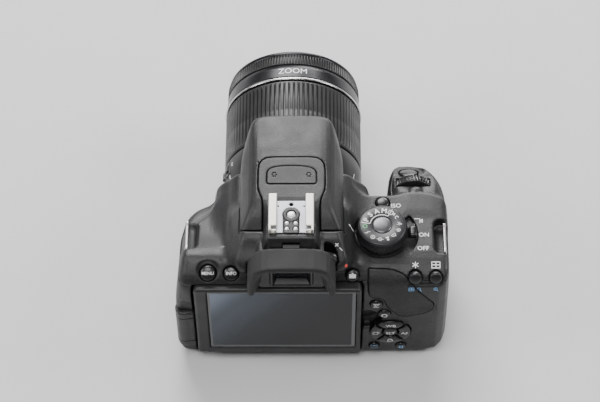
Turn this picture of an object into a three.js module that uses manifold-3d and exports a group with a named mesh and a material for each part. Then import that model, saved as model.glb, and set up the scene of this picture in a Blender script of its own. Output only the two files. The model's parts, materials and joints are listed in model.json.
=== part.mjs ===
// A digital single-lens reflex camera with its kit zoom lens, in millimetres.
// +X is the photographer's right, +Y is the way the lens points and +Z is up.
// The origin lies on the base, under the lens axis and in the plane of the image sensor.
import * as THREE from "three";
import { mergeVertices } from "three/addons/utils/BufferGeometryUtils.js";
import Module from "manifold-3d";

const wasm = await Module();
wasm.setup();

// ---- Driving dimensions ----
const GAP = 0.35; // clearance between neighbouring pieces
const WALL = 2; // thickness of the moulded covers
const REAR_Y = -15; // rear face of the rear cover
const SIDE_LEFT = -57.5;
const SIDE_RIGHT = 75.5;
const BASE_TOP = 2.8; // upper face of the base plate
const DECK_Z = 70; // flat top beside the mode dial
const SPLIT_Y = -4; // seam between rear cover and front cover
const SPLIT_Z = 62; // seam between front cover and top cover
const AXIS_Z = 40; // height of the lens axis
const FLANGE_Y = 44; // front face of the mount ring
const MOUNT_R = 37; // round housing behind the mount
const THROAT_R = 27.8; // opening inside the mount ring
const HUMP_TOP = 94.6; // top of the viewfinder hump
const LENS_R = 34.4; // outside of the lens barrel and its rings
const LENS_END = 119.3; // front rim of the lens
const SHOE = { half: 10.6, back: -5.6, front: 15.1, floor: 95.8, top: 98.4, lip: 6.4 };
const SCREEN = { left: -46.9, right: 33.4, low: 4.4, high: 63.1, back: -17, front: -9 };
const HINGE = { x: -52.5, y: -12.6, r: 4.2, low: 11.5, high: 41.5, pin: 33.7 };
const DIAL = { x: 43, y: 10.5, r: 12.4, top: 10.3, low: 72.2, high: 79 };
const WHEEL = { x: 59, y: 40.8, z: 59.8, r: 10.5, half: 2.6, tilt: -16.7 };
const LUG = { floor: 63.4, low: 66.2, high: 69.2 };
const EYE = { half: 20.5, low: 65, high: 89, back: -21.5 };
const FLASH = {
  pivotY: -0.5, pivotZ: 83.6, r: 3.6, half: 25.6, low: 79.9, front: 63.5, swingRoom: 2.2,
};
const BATTERY = { left: 50, right: 65.4, back: 8, front: 45, low: 3.5, high: 47.6 };
const CARD_DOOR = { back: -2.5, front: 20, low: 16, high: 54 };
const TERMINAL = { back: -2.6, front: 17.6, low: 12, high: 42 };

// ---- Solids ----
const turn = (degrees) => (degrees * Math.PI) / 180;

// A closed geometry as a solid that can be cut and joined.
function solid(geometry) {
  const bare = geometry.index ? geometry.toNonIndexed() : geometry.clone();
  bare.deleteAttribute("normal");
  bare.deleteAttribute("uv");
  const merged = mergeVertices(bare, 1e-4);
  return new wasm.Manifold(new wasm.Mesh({
    numProp: 3,
    vertProperties: new Float32Array(merged.attributes.position.array),
    triVerts: new Uint32Array(merged.index.array),
  }));
}

// A solid back as a geometry.
function geometryOf(made) {
  const mesh = made.getMesh();
  const geometry = new THREE.BufferGeometry();
  geometry.setAttribute("position", new THREE.BufferAttribute(mesh.vertProperties, 3));
  geometry.setIndex(new THREE.BufferAttribute(mesh.triVerts, 1));
  return geometry;
}

// An outline through [x, y, corner radius] points.
function outline(points) {
  const shape = new THREE.Shape();
  const corner = points.map(([x, y, r = 0], i) => {
    const at = new THREE.Vector2(x, y);
    const before = new THREE.Vector2(...points.at(i - 1)).sub(at);
    const after = new THREE.Vector2(...points[(i + 1) % points.length]).sub(at);
    return {
      at,
      start: at.clone().add(before.setLength(Math.min(r, before.length() * 0.48))),
      end: at.clone().add(after.setLength(Math.min(r, after.length() * 0.48))),
      round: r > 0,
    };
  });
  shape.moveTo(corner[0].end.x, corner[0].end.y);
  for (const c of [...corner.slice(1), corner[0]]) {
    shape.lineTo(c.start.x, c.start.y);
    if (c.round) shape.quadraticCurveTo(c.at.x, c.at.y, c.end.x, c.end.y);
  }
  return shape;
}

const rectangle = (x0, y0, x1, y1, r = 0) => outline(
  [[x0, y0, r], [x1, y0, r], [x1, y1, r], [x0, y1, r]]);

function extrude(shape, depth, curveSegments = 4) {
  return new THREE.ExtrudeGeometry(shape, { depth, bevelEnabled: false, curveSegments });
}

// A shape drawn in X and Y, standing from z0 to z1.
const alongZ = (shape, z0, z1, n) => solid(extrude(shape, z1 - z0, n).translate(0, 0, z0));

// A shape drawn in X and Z, lying from y0 to y1.
const alongY = (shape, y0, y1, n) => solid(
  extrude(shape, y1 - y0, n).rotateX(Math.PI / 2).translate(0, y1, 0));

// A shape drawn in Y and Z, lying from x0 to x1.
function alongX(shape, x0, x1, n) {
  const swap = new THREE.Matrix4().makeBasis(
    new THREE.Vector3(0, 1, 0), new THREE.Vector3(0, 0, 1), new THREE.Vector3(1, 0, 0));
  return solid(extrude(shape, x1 - x0, n).applyMatrix4(swap).translate(x0, 0, 0));
}

function box(x0, y0, z0, x1, y1, z1) {
  const geometry = new THREE.BoxGeometry(x1 - x0, y1 - y0, z1 - z0);
  return solid(geometry.translate((x0 + x1) / 2, (y0 + y1) / 2, (z0 + z1) / 2));
}

// A round bar from z0 to z1 about the Z axis, then turned and placed.
function bar(r, z0, z1, place = new THREE.Matrix4(), n = 20, rEnd = r) {
  const geometry = new THREE.CylinderGeometry(rEnd, r, z1 - z0, n).rotateX(Math.PI / 2);
  return solid(geometry.translate(0, 0, (z0 + z1) / 2).applyMatrix4(place));
}

// The placing of a piece whose own Z axis is leaned from +Z towards -Y by the tilt.
const leaned = (x, y, z, tilt) => new THREE.Matrix4().makeTranslation(x, y, z)
  .multiply(new THREE.Matrix4().makeRotationX(turn(tilt)));

// The placing of a piece that turns about the lens axis or one parallel to it.
const onAxisY = (x, z) => leaned(x, 0, z, -90);

// The placing of a piece whose own Z axis is laid along +X.
const onAxisX = (x, y, z) => new THREE.Matrix4().makeTranslation(x, y, z)
  .multiply(new THREE.Matrix4().makeRotationY(Math.PI / 2));

// A ring turned about the lens axis from [radius, y] points.
function turned(profile, n = 48) {
  const points = [...profile, profile[0]].map(([r, y]) => new THREE.Vector2(r, y));
  return solid(new THREE.LatheGeometry(points, n).translate(0, 0, AXIS_Z));
}

const join = (...solids) => solids.reduce((a, b) => a.add(b));
const cut = (from, ...solids) => solids.reduce((a, b) => a.subtract(b), from);

// ---- Materials ----
const finish = (color, roughness, metalness = 0) => new THREE.MeshStandardMaterial(
  { color, roughness, metalness });
const BODY = finish(0x232325, 0.55);
const RUBBER = finish(0x1b1b1c, 0.85);
const BUTTON = finish(0x141415, 0.3);
const BARREL = finish(0x1c1c1d, 0.45);
const STEEL = finish(0xc4c2bb, 0.28, 1);
const SILVER = finish(0x8f9092, 0.3, 0.9);
const GLASS = finish(0x20242c, 0.05);
const BOARD = finish(0x1f4a33, 0.6);
const SENSOR = finish(0x3a4c5e, 0.15, 0.4);

const camera = new THREE.Group();

function add(name, made, material) {
  const mesh = new THREE.Mesh(geometryOf(made), material);
  mesh.name = name;
  camera.add(mesh);
}

// ---- Body envelope ----
// The outline from above; the inset moves every side inwards for the inner wall.
function bodyOutline(inset = 0) {
  const points = [
    [SIDE_LEFT, REAR_Y, 5], [SIDE_RIGHT, REAR_Y, 9], [SIDE_RIGHT, 40, 14], [69.5, 53, 9], [60, 58.5, 8],
    [47.5, 57, 6], [45.5, 32.5, 5], [-38, 32, 6], [-46.5, 29, 8], [-53.5, 17, 8], [-54.5, 7, 6],
    [SIDE_LEFT, -4, 6],
  ];
  return outline(points.map(([x, y, r], i) => {
    const [ax, ay] = points.at(i - 1);
    const [bx, by] = points[(i + 1) % points.length];
    const before = new THREE.Vector2(x - ax, y - ay).normalize();
    const after = new THREE.Vector2(bx - x, by - y).normalize();
    const inward = new THREE.Vector2(-before.y - after.y, before.x + after.x);
    const scale = (2 * inset) / inward.lengthSq();
    return [x + inward.x * scale, y + inward.y * scale, r];
  }));
}

function bodyEnvelope() {
  const rounding = 4;
  const block = new THREE.ExtrudeGeometry(bodyOutline(), {
    depth: DECK_Z - 2 * rounding, bevelThickness: rounding, bevelSize: rounding, bevelOffset: -rounding,
    bevelSegments: 3, curveSegments: 4,
  });
  const corners = outline([
    [SIDE_LEFT - 1, 0, 9], [SIDE_RIGHT, 0, 20], [SIDE_RIGHT, 80], [SIDE_LEFT - 1, 80],
  ]);
  const gripSlope = outline([[33, DECK_Z], [51.5, 64.5], [60, 55], [70, 55], [70, 80], [33, 80]]);
  return solid(block.translate(0, 0, rounding)).intersect(alongY(corners, -40, 80))
    .subtract(alongX(gripSlope, 46.8, 80));
}

const envelope = bodyEnvelope();
const cavity = alongZ(bodyOutline(WALL), BASE_TOP, DECK_Z - WALL - 1, 4)
  .subtract(box(46, 33, 60, 80, 60, 70));

// ---- Buttons ----
// A push button: its place on the surface, the tilt of its axis and its radius.
const BUTTONS = {
  menu_button: { at: [-39.7, -11.2, 69.6], tilt: 35, r: 3.7 },
  info_button: { at: [-28.6, -11.2, 69.6], tilt: 35, r: 3.6 },
  live_view_button: { at: [28.8, -12.4, 69.2], tilt: 45, r: 3 },
  ae_lock_button: { at: [58.6, -13.2, 67.2], tilt: 60, r: 3.1 },
  af_point_button: { at: [68.4, -12.6, 66.6], tilt: 60, r: 3.1 },
  exposure_button: { at: [40.5, REAR_Y, 47.5], tilt: 90, r: 3 },
  quick_button: { at: [44.6, REAR_Y, 38.7], tilt: 90, r: 3 },
  playback_button: { at: [40.3, REAR_Y, 8.4], tilt: 90, r: 2.4 },
  erase_button: { at: [53.6, REAR_Y, 8.4], tilt: 90, r: 2.4 },
  set_button: { at: [48, REAR_Y, 22], tilt: 90, r: 3.5 },
  iso_button: { at: [43.8, 28.6, DECK_Z], tilt: 0, r: 3.3 },
  shutter_button: { at: [57, 51.4, 63.9], tilt: -35, r: 4.7 },
  flash_button: { at: [-40, 31.6, 53], tilt: -90, r: 2.8 },
  lens_release_button: { at: [-42, 30.8, 33], tilt: -90, r: 5 },
};
const BUTTON_RISE = 1.1;
const BUTTON_ROOT = 3.4;

const buttonHoles = (names) => names.map((name) => {
  const { at, tilt, r } = BUTTONS[name];
  return bar(r + GAP, -BUTTON_ROOT - 2, 9, leaned(...at, tilt), 20);
});

for (const [name, { at, tilt, r }] of Object.entries(BUTTONS)) {
  const place = leaned(...at, tilt);
  const stem = bar(r, -BUTTON_ROOT, BUTTON_RISE - 0.5, place, 20);
  const crown = bar(r, BUTTON_RISE - 0.5, BUTTON_RISE, place, 20, r - 0.6);
  add(name, stem.add(crown), BUTTON);
}

// The four keys round the set button are sectors of one ring.
const KEYS = { key_right: 0, key_up: 90, key_left: 180, key_down: 270 };
const KEY = { inner: 4.4, outer: 9.8, half: 38, x: 48, z: 22 };

function keySector(angle, inner, outer, half) {
  const shape = new THREE.Shape();
  shape.absarc(0, 0, outer, turn(angle - half), turn(angle + half), false);
  shape.absarc(0, 0, inner, turn(angle + half), turn(angle - half), true);
  shape.closePath();
  return shape;
}

function keySolid(angle, grow, y0, y1) {
  const sector = keySector(angle, KEY.inner - grow, KEY.outer + grow, KEY.half + grow * 5);
  return alongY(sector, y0, y1, 6).translate([KEY.x, 0, KEY.z]);
}

for (const [name, angle] of Object.entries(KEYS)) {
  add(name, keySolid(angle, 0, REAR_Y - 0.9, REAR_Y + BUTTON_ROOT), BUTTON);
}

// ---- Rear cover ----
function rearCover() {
  const hingeRoom = join(
    bar(HINGE.r + GAP, HINGE.low - GAP, HINGE.high + GAP, leaned(HINGE.x, HINGE.y, 0, 0), 32),
    box(HINGE.x - 8, -20, HINGE.low - GAP, SCREEN.left + 2, HINGE.y + 2.4, HINGE.high + GAP),
    box(HINGE.x - 8, -20, HINGE.low - GAP, HINGE.x + 0.5, HINGE.y + HINGE.r + 0.3, HINGE.high + GAP),
  );
  const screenRecess = alongY(rectangle(
    SCREEN.left - 3 * GAP, SCREEN.low - GAP - 0.2, SCREEN.right + GAP, SCREEN.high + GAP, 2),
  REAR_Y - 5, SCREEN.front + GAP);
  const behindScreen = join(
    box(HINGE.x - 5, SCREEN.front + GAP - 1, BASE_TOP, SCREEN.right + 2.4, -7, SCREEN.high + 2),
    box(SCREEN.left - 2.2, REAR_Y, BASE_TOP, SCREEN.right + 2.4, -7, SCREEN.high + 2),
  );
  const ridge = alongX(outline([
    [-13.5, 60], [-13.6, 68.4], [SPLIT_Y - GAP, 73.6], [SPLIT_Y - GAP, 60],
  ]), -50, -21);
  const ridgeRoom = alongX(outline([[-10.5, 59], [-10.5, 67], [-3, 70.6], [-3, 59]]), -48, -23);
  const shell = cut(join(envelope, ridge), cavity.subtract(behindScreen), ridgeRoom);
  const eyepieceRoom = join(
    box(-16.9, -20, SCREEN.high + 2, 16.9, 0, 90),
    box(-FLASH.half, -11, 67.6, FLASH.half, 0, 90),
    alongY(rectangle(-EYE.half - GAP, EYE.low - GAP, EYE.half + GAP, 90, 7), -20, -11.1),
  );
  return cut(
    shell.intersect(box(-70, -20, BASE_TOP + GAP, 90, SPLIT_Y - GAP / 2, 90)),
    screenRecess, hingeRoom, eyepieceRoom,
    ...buttonHoles(["menu_button", "info_button", "live_view_button", "ae_lock_button", "af_point_button",
      "exposure_button", "quick_button", "playback_button", "erase_button", "set_button"]),
    ...Object.values(KEYS).map((angle) => keySolid(angle, GAP, -20, -8)),
  );
}
add("rear_cover", rearCover(), BODY);

const thumbPad = outline([
  [36.4, 66, 3], [44, 66, 6], [53, 60, 5], [64.8, 44, 3], [63, 38, 3], [53, 34.4, 3], [45.5, 50, 6],
  [37, 53, 4],
]);
add("thumb_rubber", cut(alongY(thumbPad, REAR_Y - 1.9, REAR_Y - GAP),
  ...buttonHoles(["exposure_button", "live_view_button", "ae_lock_button"])), RUBBER);

// ---- Top cover with the viewfinder hump ----
// Plan of the part of the hump that stays down between the arms of the flash.
const humpPlan = (grow, front = grow) => outline([
  [-13.2 - grow, -30], [13.2 + grow, -30], [13.2 + grow, 15, 3], [15.5 + grow, 20, 3],
  [15.5 + grow, 38.5 + front, 8], [-15.5 - grow, 38.5 + front, 8], [-15.5 - grow, 20, 3],
  [-13.2 - grow, 15, 3],
]);

const shoeBed = box(
  -SHOE.half - GAP, SHOE.back - GAP, SHOE.floor - 1.2, SHOE.half + GAP, SHOE.front + GAP, 100);

const wheelRoom = bar(WHEEL.r + 0.6, -WHEEL.half - 0.5, WHEEL.half + 0.5,
  leaned(WHEEL.x, WHEEL.y, WHEEL.z, -90 + WHEEL.tilt), 32);
const mountRoom = join(
  bar(THROAT_R, 0, 60, onAxisY(0, AXIS_Z), 48), bar(33.9, FLANGE_Y - 1.8, 60, onAxisY(0, AXIS_Z), 48));

function topCover() {
  const skirt = alongY(outline([
    [-37, 60], [37, 60], [35, 69, 4], [29, 73, 4], [FLASH.half, 79.5, 2], [-FLASH.half, 79.5, 2],
    [-29, 73, 4], [-35, 69, 4],
  ]), SPLIT_Y + GAP / 2, 43.5);
  const centre = alongX(outline([
    [SPLIT_Y + GAP / 2, 60], [42, 60], [42, HUMP_TOP], [-5.8, HUMP_TOP, 1], [-10.6, 91, 2], [-10.8, 86],
    [-16, 85.5, 2], [-16, 65.6], [SPLIT_Y + GAP / 2, 65.6],
  ]), -16.4, 16.4).intersect(alongZ(humpPlan(0), 60, 100).add(box(-16.4, -20, 60, 16.4, -4, 87)));
  const armSeats = alongX(outline([
    [-10.6, 68], [FLASH.pivotY, 68], [FLASH.pivotY, 79.6], [-4.6, 82.6], [-8, 80], [-10.6, 72],
  ]), -FLASH.half + 1, FLASH.half - 1);
  const armRoom = alongX(new THREE.Shape().absarc(
    FLASH.pivotY, FLASH.pivotZ, FLASH.r + GAP, 0, 2 * Math.PI), -40, 40, 20).subtract(
    alongZ(humpPlan(-0.1), 60, 100));
  const leftRidge = alongX(outline([
    [SPLIT_Y + GAP / 2, 60], [SPLIT_Y + GAP / 2, 73.6], [8, 71.4], [24, 66], [24, 60],
  ]), -50, -30);
  const underSkirt = outline([
    [-33, 60], [33, 60], [31, 68], [27, 71], [22, 77.5], [-22, 77.5], [-27, 71], [-31, 68],
  ]);
  const inside = join(
    cavity,
    alongY(underSkirt, -2, 36),
    box(-11.2, -2, 60, 11.2, 35, HUMP_TOP - 3),
    box(-12.5, -14, 66, 12.5, 0, 83),
  );
  const lugRoom = [
    alongZ(rectangle(-60, 1, -44.8, 20.5, 3), LUG.floor, 80),
    alongZ(rectangle(67.6, -0.5, 80, 19.5, 3), LUG.floor, 80),
  ];
  const lugBlocks = envelope.intersect(join(
    box(-70, -1, SPLIT_Z + GAP, -42.8, 22.5, 80), box(65.6, -2.5, SPLIT_Z + GAP, 80, 21.5, 80)));
  const leverRoom = alongZ(keySector(0, 12, 17, 48), DECK_Z - 1.6, DECK_Z + 1, 6)
    .translate([DIAL.x, DIAL.y, 0]);
  const shell = cut(join(envelope.intersect(box(-70, SPLIT_Y + GAP / 2, SPLIT_Z + GAP, 90, 90, 90)),
    skirt.intersect(box(-60, -20, SPLIT_Z + GAP, 60, 60, 90)), centre, armSeats, leftRidge)
    .intersect(box(-70, -30, SPLIT_Z + GAP, 90, 90, 99)), inside).add(lugBlocks);
  const micRoom = alongZ(rectangle(-11.9, 22.6, 11.9, 33.6, 3), HUMP_TOP - 1.2, 100);
  return cut(shell, armRoom, shoeBed, micRoom, wheelRoom, leverRoom, mountRoom, ...lugRoom,
    bar(2.6, 50, 72, leaned(DIAL.x, DIAL.y, 0, 0)),
    bar(DIAL.r + 0.4, DECK_Z, 80, leaned(DIAL.x, DIAL.y, 0, 0), 40),
    box(-10, -20, 68, 10, -8, 82),
    bar(6, -11.3, -7.6, onAxisY(16, 78.4)),
    box(-70, -30, 60, 90, SPLIT_Y, 65.2),
    alongY(rectangle(-60, 60, -16.75, 90), -20, SPLIT_Y + GAP / 2).subtract(armSeats),
    alongY(rectangle(16.75, 60, 80, 90), -20, SPLIT_Y + GAP / 2).subtract(armSeats),
    ...buttonHoles(["iso_button", "shutter_button", "live_view_button"]));
}
add("top_cover", topCover(), BODY);

// ---- Front cover, grip rubber and base plate ----
const gripBand = (grow) => box(44 - grow, 6 - grow, 8 - grow, 90, 90, 57 + grow);
const gripCore = (inset) => alongZ(bodyOutline(inset), -1, 80, 4);

function frontCover() {
  const housing = join(
    bar(MOUNT_R, 20, 43.6, onAxisY(0, AXIS_Z), 48),
    alongY(outline([[-37, 8], [37, 8], [37, SPLIT_Z], [-37, SPLIT_Z]]), 20, 33),
  );
  const batteryRoom = box(
    BATTERY.left - GAP, BATTERY.back - GAP, 0, BATTERY.right + GAP, BATTERY.front + GAP, BATTERY.high + GAP);
  const cardRoom = box(70, CARD_DOOR.back - GAP, CARD_DOOR.low - GAP, 80, CARD_DOOR.front + GAP,
    CARD_DOOR.high + GAP);
  const terminalRoom = box(-70, TERMINAL.back - GAP, TERMINAL.low - GAP, -50, TERMINAL.front + GAP,
    TERMINAL.high + GAP);
  return cut(
    join(envelope.intersect(box(-70, SPLIT_Y + GAP / 2, BASE_TOP + GAP, 90, 90, SPLIT_Z)),
      housing.intersect(box(-60, 10, BASE_TOP + GAP, 60, 60, SPLIT_Z))),
    cavity, gripBand(0).subtract(gripCore(1.8)),
    mountRoom, wheelRoom, batteryRoom, cardRoom, terminalRoom,
    ...buttonHoles(["flash_button", "lens_release_button", "shutter_button"]),
  );
}
add("front_cover", frontCover(), BODY);
add("grip_rubber", envelope.intersect(gripBand(-GAP)).subtract(gripCore(1.8 - 2 * GAP))
  .subtract(box(40, -20, 0, 90, CARD_DOOR.front + 2, 90)), RUBBER);

const batteryOpening = alongZ(rectangle(
  BATTERY.left - 1.2 - GAP, BATTERY.back - 1 - GAP, BATTERY.right + 1.2 + GAP, BATTERY.front + 1 + GAP),
-1, 5);
add("base_plate", cut(envelope.intersect(box(-70, -30, -1, 90, 90, BASE_TOP)), batteryOpening,
  bar(5.2, -1, 5, leaned(0, 12, 0, 0), 32)), BODY);

// A door leaf whose edge at the pivot is rounded about it.
add("battery_door", join(
  box(BATTERY.left - 0.1, BATTERY.back - 1, 0.4, BATTERY.right + 1.2, BATTERY.front + 1, 2.6)
    .intersect(envelope),
  bar(1.1, BATTERY.back - 1, BATTERY.front + 1, onAxisY(BATTERY.left - 0.1, 1.5), 16),
), BODY);

function cardDoor() {
  const inner = SIDE_RIGHT - WALL;
  const middle = SIDE_RIGHT - WALL / 2;
  return join(
    box(inner, CARD_DOOR.back, CARD_DOOR.low, SIDE_RIGHT, CARD_DOOR.front - WALL / 2, CARD_DOOR.high),
    bar(WALL / 2, CARD_DOOR.low, CARD_DOOR.high, leaned(middle, CARD_DOOR.front - WALL / 2, 0, 0), 16),
  );
}
add("card_door", cardDoor(), BODY);

const terminalRegion = box(-70, TERMINAL.back, TERMINAL.low, -50, TERMINAL.front - 1, TERMINAL.high);
add("terminal_door", envelope.intersect(terminalRegion).subtract(gripCore(WALL))
  .add(bar(1, TERMINAL.low, TERMINAL.high, leaned(-52.6, TERMINAL.front - 1.2, 0, 0), 16)), RUBBER);

// ---- Inside the body ----
add("tripod_socket", cut(
  bar(4.9, 0, 8, leaned(0, 12, 0, 0), 32), bar(3.1, -1, 7, leaned(0, 12, 0, 0), 24)), STEEL);
add("battery_pack", alongZ(rectangle(
  BATTERY.left, BATTERY.back, BATTERY.right, BATTERY.front, 1.5), BATTERY.low, BATTERY.high), BARREL);
add("memory_card", alongY(outline([
  [41, 22], [72.6, 22], [72.6, 44], [70, 46], [41, 46],
]), -1.2, 0.9), BUTTON);
add("main_board", box(-44, -6.4, 6, 40, -5, 58), BOARD);
add("image_sensor", box(-14, -4.6, 29, 14, -0.3, 51), SENSOR);
add("shutter_unit", cut(box(-24, 0.2, 20, 24, 5, 60), box(-12, -1, 32, 12, 6, 48)), SILVER);
add("mirror_box", cut(box(-19.6, 5.4, 21, 19.6, 37.5, 59), box(-17.5, 4, 23.5, 17.5, 40, 70)), BARREL);

const MIRROR = { y: 9, z: 58, long: 25, half: 14, thick: 1.4 };
add("mirror", join(
  solid(new THREE.BoxGeometry(2 * MIRROR.half, MIRROR.long, MIRROR.thick).translate(0, MIRROR.long / 2, 0)
    .applyMatrix4(leaned(0, MIRROR.y, MIRROR.z, -45))),
  bar(0.9, -MIRROR.half, MIRROR.half, onAxisX(0, MIRROR.y, MIRROR.z), 12),
), GLASS);

add("viewfinder_prism", alongX(outline([
  [6, 62], [34, 62], [34, 74], [26, 86], [14, 90], [6, 80],
]), -10.8, 10.8), GLASS);
add("eyepiece_lens", alongY(rectangle(-9.7, 68.3, 9.7, 81.7, 2), -13.6, -11), GLASS);

// ---- Mount ring ----
add("body_mount_ring", turned([[27.5, 42.5], [33.6, 42.5], [33.6, FLANGE_Y], [27.5, FLANGE_Y]]), STEEL);

// ---- Accessory shoe ----
add("hot_shoe_rails", cut(
  box(-SHOE.half, SHOE.back, SHOE.floor - 1, SHOE.half, SHOE.front, SHOE.top),
  box(-SHOE.half + 1.2, SHOE.back - 1, SHOE.floor, SHOE.half - 1.2, SHOE.front + 1, SHOE.top - 1),
  box(-SHOE.lip, SHOE.back - 1, SHOE.floor, SHOE.lip, SHOE.front + 1, SHOE.top + 1),
  alongZ(rectangle(-3.8, -7, 3.8, 4.5), 90, 100), bar(4.1, 90, 100, leaned(0, 4.5, 0, 0)),
), STEEL);
const contact = (x, y, r) => bar(r, SHOE.floor - 0.2, SHOE.floor + 0.3, leaned(x, y, 0, 0), 16);
add("hot_shoe_contacts", join(
  alongZ(rectangle(-3.45, -5.6, 3.45, 4.5), SHOE.floor - 1, SHOE.floor - 0.2),
  bar(3.75, SHOE.floor - 1, SHOE.floor - 0.2, leaned(0, 4.5, 0, 0)),
  contact(0, 4.5, 2.2), contact(-2.1, -0.3, 1.1), contact(2.1, -0.3, 1.1), contact(-2.1, -3.5, 1.1),
  contact(2.1, -3.5, 1.1),
), BUTTON);
add("microphone_cover", alongZ(rectangle(-11.5, 23, 11.5, 33.2, 3), HUMP_TOP - 0.8, HUMP_TOP + 0.2), BODY);

// ---- Strap lugs: a bar with a leg at each end, let into the recess wall ----
function strapLug(side, barX, wallX, y0, y1) {
  const plan = outline([
    [wallX, y0], [barX + side * 0.7, y0], [barX + side * 0.7, y1], [wallX, y1], [wallX, y1 - 1.4],
    [barX - side * 0.7, y1 - 1.4], [barX - side * 0.7, y0 + 1.4], [wallX, y0 + 1.4],
  ]);
  return alongZ(plan, LUG.low, LUG.high);
}
add("strap_lug_right", strapLug(1, 73.2, 67.95, 1, 17.6), STEEL);
add("strap_lug_left", strapLug(-1, -50.4, -45.15, 3, 19), STEEL);

// ---- Eyecup and dioptre dial ----
add("eyecup", cut(
  alongY(rectangle(-EYE.half, EYE.low, EYE.half, EYE.high, 7), EYE.back, -11.5, 6),
  alongY(rectangle(-13, 69, 13, 84, 4), -30, 0),
  box(-16.8, -16.4, 60, 16.8, 0, 86.4),
), RUBBER);
add("diopter_dial", bar(5.6, 7.95, 10.95, leaned(16, 0, 78.4, 90), 28), BUTTON);

// ---- Tilting screen ----
add("screen_hinge", join(
  bar(HINGE.r, HINGE.low, HINGE.high, leaned(HINGE.x, HINGE.y, 0, 0), 28),
  box(HINGE.x, -16.7, HINGE.low, SCREEN.left - 0.4, HINGE.y + 2, HINGE.high),
  bar(1.8, SCREEN.left - 1, SCREEN.left + 3, onAxisX(0, -13, HINGE.pin), 16),
), BODY);
const windowPlan = (grow) => rectangle(-39.3 - grow, 11 - grow, 29 + grow, 59.7 + grow, 1);
add("screen_case", cut(
  alongY(rectangle(SCREEN.left, SCREEN.low, SCREEN.right, SCREEN.high, 2.5), SCREEN.back, SCREEN.front),
  alongY(windowPlan(0.35), SCREEN.back - 1, SCREEN.back + 1.9),
  bar(2.1, SCREEN.left - 1, SCREEN.left + 3.4, onAxisX(0, -13, HINGE.pin), 16),
), BODY);
add("screen_window", alongY(windowPlan(0), SCREEN.back + 0.1, SCREEN.back + 1.5), GLASS);

// ---- Pop-up flash ----
function flashHousing() {
  const section = outline([
    [-FLASH.half, FLASH.low], [FLASH.half, FLASH.low], [FLASH.half - 1, 84, 2], [16.4, HUMP_TOP, 4],
    [-16.4, HUMP_TOP, 4], [-FLASH.half + 1, 84, 2],
  ]);
  const nose = outline([
    [-23, 76.2, 3], [23, 76.2, 3], [FLASH.half - 1, 84, 3], [16.4, HUMP_TOP, 4], [-16.4, HUMP_TOP, 4],
    [-FLASH.half + 1, 84, 3],
  ]);
  const side = outline([
    [FLASH.pivotY, FLASH.low], [46, FLASH.low], [46, 76.2], [60, 76.2, 3], [FLASH.front, 82, 6],
    [62.5, 93.4, 3], [16, HUMP_TOP, 4], [FLASH.pivotY + 1, FLASH.pivotZ + FLASH.r - 0.1],
  ]);
  const knuckle = alongX(new THREE.Shape().absarc(
    FLASH.pivotY, FLASH.pivotZ, FLASH.r, 0, 2 * Math.PI), -40, 40, 20);
  const form = join(alongY(section, -8, 46), alongY(nose, 46, 70));
  const hollowSection = outline([
    [-17.5, 70], [17.5, 70], [17.5, 84], [14.5, 92], [-14.5, 92], [-17.5, 84],
  ]);
  const hollow = alongX(outline([[41, 70], [61, 70], [61, 91], [41, 91.6]]), -18, 18)
    .intersect(alongY(hollowSection, 30, 70));
  return cut(form.intersect(join(alongX(side, -40, 40), knuckle)),
    alongZ(humpPlan(GAP, FLASH.swingRoom), 60, 100), hollow);
}
add("flash_housing", flashHousing(), BODY);
add("flash_window", box(-17, 44, 77.4, 17, 60.6, 79.4), GLASS);

// ---- Controls on the top ----
function modeDial() {
  return join(
    bar(DIAL.r, DIAL.low, DIAL.low + 3, leaned(DIAL.x, DIAL.y, 0, 0), 48),
    bar(DIAL.r, DIAL.low + 3, DIAL.high, leaned(DIAL.x, DIAL.y, 0, 0), 48, DIAL.top),
    bar(2, 64, DIAL.low, leaned(DIAL.x, DIAL.y, 0, 0), 16),
  );
}
add("mode_dial", modeDial(), SILVER);
add("power_lever", cut(
  join(
    bar(DIAL.r - 0.2, DECK_Z + GAP, DIAL.low - GAP, leaned(DIAL.x, DIAL.y, 0, 0), 40),
    alongZ(rectangle(DIAL.x + 8, DIAL.y - 2.4, DIAL.x + 16.2, DIAL.y + 2.4, 2),
      DECK_Z + GAP, DIAL.low - GAP),
    alongZ(rectangle(DIAL.x + 12.9, DIAL.y - 2.4, DIAL.x + 16.2, DIAL.y + 2.4, 1.2),
      DECK_Z + GAP, DECK_Z + 4),
  ),
  bar(2.6, 50, 80, leaned(DIAL.x, DIAL.y, 0, 0), 24),
), BUTTON);
add("main_dial", bar(WHEEL.r, -WHEEL.half, WHEEL.half,
  leaned(WHEEL.x, WHEEL.y, WHEEL.z, -90 + WHEEL.tilt), 40), BUTTON);

// ---- Zoom lens ----
add("lens_barrel", turned([
  [24.6, 38], [27, 38], [27, FLANGE_Y + GAP], [31, FLANGE_Y + GAP], [31.2, 47], [LENS_R, 56], [LENS_R, 65.8],
  [31.6, 65.8], [31.6, 99.4], [29.8, 99.4], [29.8, 58], [24.6, 49],
]), BARREL);
add("zoom_ring", turned([[31.9, 66.2], [LENS_R, 66.2], [LENS_R, 99.9], [31.9, 99.9]]), RUBBER);
add("front_barrel", turned([
  [28, 64], [29.4, 64], [29.4, 100.4], [LENS_R + 0.3, 100.4], [LENS_R + 0.3, 102], [LENS_R, 102.4],
  [33.8, 110.4], [31, 110.4], [31, 117.6], [33.6, 117.6], [33.3, LENS_END], [29.6, LENS_END], [28.4, 114],
  [21.2, 111.4], [21.2, 109.6], [28, 107],
]), BARREL);
add("focus_ring", turned([[31.35, 110.75], [33.9, 110.75], [33.9, 117.25], [31.35, 117.25]]), RUBBER);
add("front_element", turned([
  [0, 105], [20.8, 107], [20.8, 110], [17, 112], [12, 113.4], [6, 114.2], [0, 114.5],
]), GLASS);

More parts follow.
